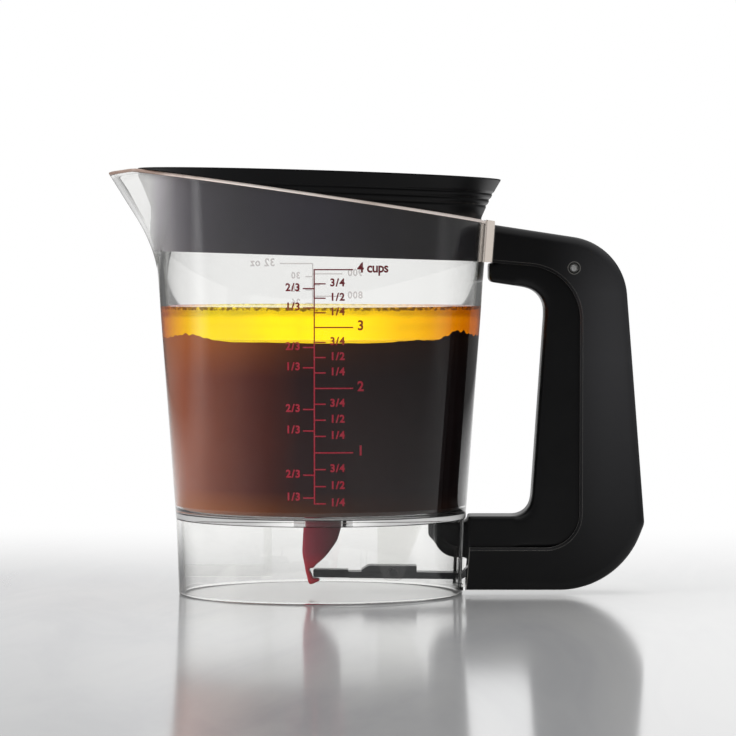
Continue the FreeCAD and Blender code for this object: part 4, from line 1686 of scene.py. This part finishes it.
@dataclass
class Contents:
    """Pan juices in the jug: brown gravy with a layer of clear yellow fat on it."""

    form: JugForm = field(default_factory=JugForm)
    gravy_top_z: float = 97.3
    fat_top_z: float = 110.4
    floor_gap: float = 0.8
    floor_curve: float = 2.4
    film_curve: float = 0.1
    overlap: float = 0.2
    sag: float = 0.4
    shoulder: Point = (1.2, 4.0, 0.35)
    gravy_waver: float = 0.3
    fat_waver: float = 0.12
    gravy_press: float = 0.1
    fat_press: float = 0.05
    columns: int = 360
    wall_rows: int = 8
    wave_counts: tuple[int, ...] = (2, 3, 5, 9, 14, 23, 37)
    clump_counts: tuple[int, int] = (53, 83)
    climbs: tuple[Point, ...] = (
        (46.5, 3.9, 5.0), (32.0, 0.9, 8.0), (55.0, 1.8, 4.0), (-44.0, 2.6, 7.5), (-56.0, 1.2, 3.0)
    )
    cloud_mm: float = 30.0
    froth_mm: float = 1.6
    gravy_roughness: float = 0.5
    gravy_ior: float = 1.2
    fat_glow: float = 0.28
    fat_roughness: float = 0.12
    fat_ior: float = 1.47

    def skin(
        self,
        name: str,
        low: float,
        high: float,
        uneven: float,
        climbs: tuple[Point, ...],
        into_wall: float,
        material: Material,
    ) -> Object:
        """A body of liquid that touches the wall, with an uneven top edge.

        Args:
            name: the piece's name.
            low: height of its underside.
            high: height of its top.
            uneven: how much its top edge wavers.
            climbs: X, height and width of each place where the edge climbs the wall.
            into_wall: how far it is pressed into the wall.
            material: its finish.
        Returns:
            The piece.
        """
        rng = random.Random(name)
        waves = [(rng.uniform(0, 6.28), rng.uniform(0.4, 1), k) for k in self.wave_counts]
        first, second = self.clump_counts
        bore = self.form.wall
        near, far, drop = self.shoulder
        on_floor = low < self.form.floor_top_z + self.floor_curve
        curve = self.floor_curve if on_floor else self.film_curve
        points: list[Point] = []
        for angle in turn_angles(self.columns):
            top = high + sum(math.sin(k * angle + p) * a / k**0.6 for p, a, k in waves) * uneven
            wall_low = self.form.radius(angle, low, bore)
            x_low = wall_low * math.cos(angle)
            clumps = 1 + 0.1 * math.sin(first * angle) + 0.1 * math.sin(second * angle + 1)
            top += sum(clumps * h * math.exp(-(((x_low - x) / w) ** 2)) for x, h, w in climbs)
            points += [at(wall_low * 0.5, angle, low), at(wall_low - curve, angle, low)]
            points.append(at(wall_low - curve * 0.3, angle, low + curve * 0.3))
            for z in spread(low + curve, top, self.wall_rows):
                points.append(at(self.form.radius(angle, z, bore) + into_wall, angle, z))
            inner = self.form.radius(angle, top, bore)
            points.append(at(inner - near, angle, (top + high) / 2 - drop))
            points += [at(reach, angle, high - self.sag) for reach in (inner - far, inner * 0.5)]
        rows = len(points) // self.columns
        faces = loop_faces(self.columns, rows, closed=False)
        bottom, middle = len(points), len(points) + 1
        points += [(0, 0, low), (0, 0, high - self.sag)]
        for column in range(self.columns):
            here, there = column * rows, (column + 1) % self.columns * rows
            faces += [(here, bottom, there), (here + rows - 1, there + rows - 1, middle)]
        return mesh_object(name, points, faces, material, smooth_below_deg=60)

    def gravy_material(self) -> Material:
        """Thickened stock: opaque brown, lighter and warmer towards the lamp's side and the floor.

        Returns:
            The material.
        """
        material, tree, where = new_material("gravy")
        place = add_node(tree, "ShaderNodeSeparateXYZ", {0: where}).outputs
        size = {"Vector": where, "Scale": 1 / (self.cloud_mm * MM), "Detail": 2.0}
        cloud = add_node(tree, "ShaderNodeTexNoise", size)
        span = {0: place["X"], 1: -60 * MM, 2: 60 * MM, 3: -0.03, 4: 0.97}
        across = add_node(tree, "ShaderNodeMapRange", span)
        drifted = add_node(tree, "ShaderNodeMath", {0: cloud, 1: 0.06, 2: across}, operation="MULTIPLY_ADD")
        lit_side = [(0.03, "#c08a74"), (0.09, "#b0684c"), (0.17, "#8c4830"), (0.29, "#66291a")]
        far_side = [(0.44, "#35191a"), (0.7, "#2e1a1a"), (0.88, "#1f1112"), (1.0, "#120808")]
        colour = add_node(tree, "ShaderNodeValToRGB", {"Fac": drifted}, lit_side + far_side)
        span = {0: place["Z"], 1: 32.5 * MM, 2: 42 * MM, 3: 0.8, 4: 0.0}
        glow_low = add_node(tree, "ShaderNodeMapRange", span)
        span = {0: place["Z"], 1: 84 * MM, 2: 96 * MM, 3: 0.0, 4: 0.5}
        glow_top = add_node(tree, "ShaderNodeMapRange", span)
        glow = add_node(tree, "ShaderNodeMath", {0: glow_low, 1: glow_top}, operation="MAXIMUM")
        stops = [(0.1, "#c87430"), (0.35, "#8a4a1e"), (0.6, "#4f2a14"), (0.9, "#2a140a")]
        warm = add_node(tree, "ShaderNodeValToRGB", {"Fac": across}, stops)
        mixed = add_node(tree, "ShaderNodeMix", {0: glow, 6: colour, 7: warm}, data_type="RGBA").outputs[2]
        looks = {"Base Color": mixed, "Roughness": self.gravy_roughness, "IOR": self.gravy_ior}
        shader = add_node(tree, "ShaderNodeBsdfPrincipled", looks)
        add_node(tree, "ShaderNodeOutputMaterial", {"Surface": shader})
        return material

    def fat_material(self) -> Material:
        """Melted fat: clear, with a painted glow and a painted tint by X, yellow in the middle and amber to
        red at the edges, for the light that passes through it; it also darkens with the depth that light
        passes through.

        Returns:
            The material.
        """
        material, tree, where = new_material("fat")
        place = add_node(tree, "ShaderNodeSeparateXYZ", {0: where}).outputs
        across = add_node(tree, "ShaderNodeMapRange", {0: place["X"], 1: -60 * MM, 2: 60 * MM})
        # Painted glow and tint: the fat looks lit from behind, brighter in the middle than at its edges.
        painted_spout_glow = [(0.03, "#c05a60"), (0.09, "#e8a020"), (0.16, "#fff000")]
        painted_handle_glow = [(0.55, "#ffe000"), (0.8, "#f0a800"), (0.93, "#a04c00")]
        spout_tint = [(0.02, "#b86058"), (0.07, "#eeb070"), (0.14, "#fff6a0"), (0.6, "#fff4a0")]
        handle_tint = [(0.78, "#ffdc60"), (0.9, "#d47300"), (0.97, "#a84400")]
        looks = {
            "Base Color": add_node(tree, "ShaderNodeValToRGB", {"Fac": across}, spout_tint + handle_tint),
            "Roughness": self.fat_roughness,
            "IOR": self.fat_ior,
            "Transmission Weight": 1.0,
            "Emission Color": add_node(tree, "ShaderNodeValToRGB", {"Fac": across}, painted_spout_glow + painted_handle_glow),
            "Emission Strength": self.fat_glow,
        }
        lit = through_for_shadows(tree, add_node(tree, "ShaderNodeBsdfPrincipled", looks), "#ffd070")
        size = {"Vector": where, "Scale": 1 / (self.froth_mm * MM), "Detail": 3.0}
        froth = add_node(tree, "ShaderNodeTexNoise", size)
        edge = self.fat_top_z * MM
        span = {0: place["Z"], 1: edge - 1.9 * MM, 2: edge - 1.0 * MM, 3: -0.3, 4: 0.12}
        near_top = add_node(tree, "ShaderNodeMapRange", span)
        normal = add_node(tree, "ShaderNodeNewGeometry").outputs["Normal"]
        facing = add_node(tree, "ShaderNodeSeparateXYZ", {0: normal}).outputs["Z"]
        upward = add_node(tree, "ShaderNodeMapRange", {0: facing, 1: 0.3, 2: 0.7, 3: 0.0, 4: -0.24})
        shown = add_node(tree, "ShaderNodeMath", {0: near_top, 1: upward}, operation="ADD")
        dots = add_node(tree, "ShaderNodeMath", {0: froth, 1: shown}, operation="ADD")
        cover = add_node(tree, "ShaderNodeMapRange", {0: dots, 1: 0.46, 2: 0.66, 3: 0.0, 4: 0.8})
        brown = add_node(tree, "ShaderNodeValToRGB", {"Fac": froth}, [(0.35, "#a8642a"), (0.62, "#6a3812")])
        scum = add_node(tree, "ShaderNodeBsdfPrincipled", {"Base Color": brown, "Roughness": 0.5, "IOR": 1.4})
        surface = add_node(tree, "ShaderNodeMixShader", {0: cover, 1: lit, 2: scum})
        soak = {"Color": (1.0, 0.985, 0.0, 1.0), "Density": 150.0}
        volume = add_node(tree, "ShaderNodeVolumeAbsorption", soak)
        add_node(tree, "ShaderNodeOutputMaterial", {"Surface": surface, "Volume": volume})
        return material

    def pour(self) -> list[Object]:
        """Fills the jug; the liquids aren't part of the object.

        Returns:
            The gravy and the fat.
        """
        floor_z = self.form.floor_top_z + self.floor_gap
        edge = (self.gravy_waver, self.climbs, self.gravy_press)
        gravy = self.skin("gravy", floor_z, self.gravy_top_z, *edge, self.gravy_material())
        edge = (self.fat_waver, (), self.fat_press)
        fat = self.skin("fat", self.gravy_top_z - self.overlap, self.fat_top_z, *edge, self.fat_material())
        for liquid in (gravy, fat):
            liquid.visible_shadow = False
            liquid.visible_diffuse = False
        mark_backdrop(gravy, fat)
        return [gravy, fat]


# ---- Studio ----


@dataclass
class Studio:
    """A pale marble top in front of a white background, soft lamps, and the camera."""

    floor_half: float = 6000.0
    vein_mm: float = 60.0
    floor_roughness: float = 0.11
    lane_level: float = 0.15
    mirrored_level: float = 0.08
    plain_level: float = 0.42
    least_glint: float = 0.1
    camera_at: Point = (18.1, -1490.0, 128.0)
    camera_to: Point = (18.1, 0.0, 86.4)
    lens: float = 190.0
    sensor: float = 36.0
    far_clip: float = 100.0
    lamp_aim: Point = (0.0, 0.0, 80.0)

    def marble(self) -> Material:
        """Honed marble with faint veins, painted darker on the left than on the right as shade, which fades
        to white behind and is painted dim as shade where it is only mirrored in front of the jug.

        Returns:
            The material.
        """
        material, tree, where = new_material("pale_marble")
        place = add_node(tree, "ShaderNodeSeparateXYZ", {0: where}).outputs
        stretched = add_node(tree, "ShaderNodeMapping", {"Vector": where, "Scale": (1.0, 0.2, 1.0)})
        size = {"Vector": stretched, "Scale": 1 / (self.vein_mm * MM), "Detail": 6.0, "Distortion": 1.5}
        veins = add_node(tree, "ShaderNodeTexNoise", size)
        # Painted shade: the left side is darker than the right.
        side = add_node(tree, "ShaderNodeMapRange", {0: place["X"], 1: -120 * MM, 2: 140 * MM})
        left = [(0.3, "#b6b7bb"), (0.5, "#c4c5c7"), (0.65, "#cbcbcc")]
        right = [(0.3, "#e2e3e5"), (0.5, "#ececed"), (0.65, "#f0f0f0")]
        tones = [add_node(tree, "ShaderNodeValToRGB", {"Fac": veins}, stops) for stops in (left, right)]
        mixed = {0: side, 6: tones[0], 7: tones[1]}
        colour = add_node(tree, "ShaderNodeMix", mixed, data_type="RGBA").outputs[2]
        looks = {"Base Color": colour, "Roughness": self.floor_roughness, "IOR": 1.5}
        stone = add_node(tree, "ShaderNodeBsdfPrincipled", looks)
        span = {0: place["Y"], 1: 50 * MM, 2: 380 * MM}
        fade = add_node(tree, "ShaderNodeMapRange", span, interpolation_type="SMOOTHSTEP")
        seen = add_node(tree, "ShaderNodeLightPath").outputs["Is Camera Ray"]
        off = add_node(tree, "ShaderNodeMath", {0: place["X"]}, operation="ABSOLUTE")
        span = {0: off, 1: 250 * MM, 2: 600 * MM, 3: 1.0, 4: self.lane_level}
        lane = add_node(tree, "ShaderNodeMapRange", span)
        level = add_node(tree, "ShaderNodeMath", {0: seen, 1: lane}, operation="MAXIMUM")
        white = add_node(tree, "ShaderNodeEmission", {"Color": WHITE, "Strength": level})
        lit = add_node(tree, "ShaderNodeMixShader", {0: fade, 1: stone, 2: white})
        # Painted shade: in front of the jug, a ray that sees the floor only in a reflection sees it dim.
        away = add_node(tree, "ShaderNodeVectorMath", {0: where}, operation="LENGTH").outputs["Value"]
        far = add_node(tree, "ShaderNodeMapRange", {0: away, 1: 150 * MM, 2: 1000 * MM, 3: 0.0, 4: 0.9})
        span = {0: place["Y"], 1: -100 * MM, 2: 50 * MM, 3: 1.0, 4: 0.0}
        in_front = add_node(tree, "ShaderNodeMapRange", span)
        dim = add_node(tree, "ShaderNodeMath", {0: far, 1: in_front}, operation="MULTIPLY")
        hidden = add_node(tree, "ShaderNodeMath", {0: 1.0, 1: seen}, operation="SUBTRACT")
        dimmed = add_node(tree, "ShaderNodeMath", {0: dim, 1: hidden}, operation="MULTIPLY")
        dark = add_node(tree, "ShaderNodeEmission", {"Color": WHITE, "Strength": self.mirrored_level})
        surface = add_node(tree, "ShaderNodeMixShader", {0: dimmed, 1: lit, 2: dark})
        add_node(tree, "ShaderNodeOutputMaterial", {"Surface": surface})
        return material

    def floor(self) -> None:
        """Lays the floor."""
        half = self.floor_half * MM
        mesh = bpy.data.meshes.new("floor")
        corners = [(-half, -half, 0), (half, -half, 0), (half, half, 0), (-half, half, 0)]
        mesh.from_pydata(corners, [], [(0, 1, 2, 3)])
        mesh.materials.append(self.marble())
        add_object("floor", mesh)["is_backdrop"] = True

    def world(self) -> None:
        """White behind the jug for whatever looks at it, and a plain soft level for what it lights."""
        world = bpy.data.worlds.new("studio")
        bpy.context.scene.world = world
        world.use_nodes = True
        tree = world.node_tree
        tree.nodes.clear()
        rays = add_node(tree, "ShaderNodeLightPath").outputs
        looked = add_node(tree, "ShaderNodeTexCoord").outputs["Generated"]
        direction = add_node(tree, "ShaderNodeSeparateXYZ", {0: looked}).outputs
        shares = {
            "behind": ("Y", 0.3, 0.8, 0.0, 1.0),
            "left": ("X", -1.0, -0.55, 1.2, 0.0),
            "right": ("X", 0.6, 1.0, 0.0, 0.12),
            "above": ("Z", 0.3, 0.8, 0.0, 1.1),
        }
        levels = {}
        for side, (axis, start, end, first, last) in shares.items():
            span = {0: direction[axis], 1: start, 2: end, 3: first, 4: last}
            levels[side] = add_node(tree, "ShaderNodeMapRange", span, interpolation_type="SMOOTHSTEP")
        off = add_node(tree, "ShaderNodeMath", {0: direction["X"]}, operation="ABSOLUTE")
        span = {0: off, 1: 0.11, 2: 0.38, 3: 1.0, 4: 0.0}
        flagged = add_node(tree, "ShaderNodeMapRange", span, interpolation_type="SMOOTHSTEP")
        sheet = add_node(tree, "ShaderNodeMath", {0: levels["behind"], 1: flagged}, operation="MULTIPLY")
        span = {0: direction["X"], 1: -0.08, 2: 0.03, 3: 0.48, 4: 0.0}
        low_left = add_node(tree, "ShaderNodeMapRange", span)
        high = add_node(tree, "ShaderNodeMapRange", {0: direction["Z"], 1: 0.08, 2: 0.13})
        dimmed = add_node(tree, "ShaderNodeMath", {0: low_left, 1: high}, operation="MULTIPLY")
        left_fall = add_node(tree, "ShaderNodeMath", {0: 1.0, 1: dimmed}, operation="SUBTRACT")
        seen = add_node(tree, "ShaderNodeMath", {0: sheet, 1: left_fall}, operation="MULTIPLY")
        most = add_node(tree, "ShaderNodeMath", {0: seen, 1: self.least_glint}, operation="MAXIMUM")
        for side in ("left", "right", "above"):
            most = add_node(tree, "ShaderNodeMath", {0: most, 1: levels[side]}, operation="MAXIMUM")
        through = add_node(tree, "ShaderNodeMapRange", {0: sheet, 3: 0.6, 4: 1.0})
        strength = add_node(tree, "ShaderNodeValue")
        strength.outputs[0].default_value = self.plain_level
        kinds = {"Is Glossy Ray": most, "Is Transmission Ray": through, "Is Camera Ray": 1.0}
        for kind, level in kinds.items():
            chosen = {0: rays[kind], 2: strength, 3: level}
            strength = add_node(tree, "ShaderNodeMix", chosen, data_type="FLOAT")
        light = add_node(tree, "ShaderNodeBackground", {"Color": WHITE, "Strength": strength})
        add_node(tree, "ShaderNodeOutputWorld", {"Surface": light})

    def lamp(self, name: str, place: Point, size: tuple[float, float], watts: float) -> None:
        """A soft rectangular lamp turned towards the jug.

        Args:
            name: its name.
            place: where it hangs.
            size: its width and height.
            watts: its power.
        """
        data = bpy.data.lights.new(name, "AREA")
        data.shape = "RECTANGLE"
        data.size, data.size_y = size[0] * MM, size[1] * MM
        data.energy = watts
        lamp = add_object(name, data)
        lamp.location = Vector(place) * MM
        lamp.rotation_euler = (Vector(self.lamp_aim) - Vector(place)).to_track_quat("-Z", "Y").to_euler()
        lamp.visible_glossy = False
        lamp.visible_transmission = False

    def camera(self) -> None:
        """A long lens at jug height, looking very slightly down."""
        data = bpy.data.cameras.new("camera")
        data.lens = self.lens
        data.sensor_width = self.sensor
        data.dof.use_dof = False
        data.clip_end = self.far_clip
        camera = add_object("camera", data)
        camera.location = Vector(self.camera_at) * MM
        aim = (Vector(self.camera_to) - Vector(self.camera_at)).to_track_quat("-Z", "Y")
        camera.rotation_euler = aim.to_euler()
        bpy.context.scene.camera = camera

    def set_up(self) -> None:
        """Builds the floor, the world, the lamps and the camera."""
        self.floor()
        self.world()
        self.lamp("left_softbox", (-900, -450, 400), (700, 900), 6.0)
        self.lamp("top_softbox", (0, 100, 1000), (900, 700), 3.4)
        self.camera()
        bpy.context.scene.view_settings.view_transform = "Standard"


def note_size(when: str, sizes: dict[str, list]) -> None:
    """Keeps the shown object's lowest and highest corner.

    Args:
        when: the moment's name.
        sizes: what was kept so far.
    """
    low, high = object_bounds()
    sizes[when] = [list(low), list(high)]


def main() -> None:
    """Loads the frame and dresses the fat separator, sub-assembly by sub-assembly."""
    logging.basicConfig(level=logging.INFO, format="%(name)s: %(message)s")
    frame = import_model()
    nodes = frame["nodes"]
    sizes: dict[str, list] = {}
    note_size("loaded", sizes)

    clear_plastic = ClearPlastic()
    clear, clear_edge = clear_plastic.material(), clear_plastic.edge_material()
    # The thick block's greyer tint is partly its own and partly painted shade.
    thick_clear_shaded = ClearPlastic("clear_plastic_thick_shaded", "#d0c6bd", "#7c726a").material()
    handle, lid, drain = SqueezeHandle(), StrainerLid(), Drain()
    rubber = MouldedPlastic("grip_plastic", "#121213", "#151516", 0.38, specular=0.25, edge_mm=0.7)
    trigger_plastic = MouldedPlastic("trigger_plastic", "#0e0e0f", "#111112", 0.34, specular=0.3)
    lid_look = {"specular": 0.15, "grain_depth_mm": 0.003}
    lid_plastic = MouldedPlastic("lid_plastic", "#0a0a0b", "#0d0d0e", 0.34, **lid_look)
    lever_plastic = MouldedPlastic("lever_plastic", "#2b2b2f", "#313135", 0.3, specular=0.2)
    front_ink = ScreenInk("crimson_ink", "#80101f", "#a03c0c", "#bb1634").material()
    back_ink = ScreenInk("scale_ink", "#b0505c", "#b0505c", "#b0505c", 0.2).material()
    grip, trigger = rubber.material(handle.palm_wear), trigger_plastic.material()
    lever, silicone = lever_plastic.material(drain.lever_shade), Silicone().material()

    assemblies = {
        "clear jug": ClearJug().dress(nodes, clear, clear_edge, thick_clear_shaded),
        "graduations": Graduations().dress(front_ink, back_ink),
        "strainer lid": lid.dress(lid_plastic.material(lid.behind_wall)),
        "squeeze handle": handle.dress(nodes, grip, trigger, DrawnSteel().material()),
        "drain": drain.dress(nodes, lever, silicone),
        "contents": Contents().pour(),
    }
    for name, pieces in assemblies.items():
        for piece in pieces:
            log.info("%s: %s, %d faces", name, piece.name, len(piece.data.polygons))
    Studio().set_up()
    note_size("finished", sizes)


if __name__ == "__main__":
    main()
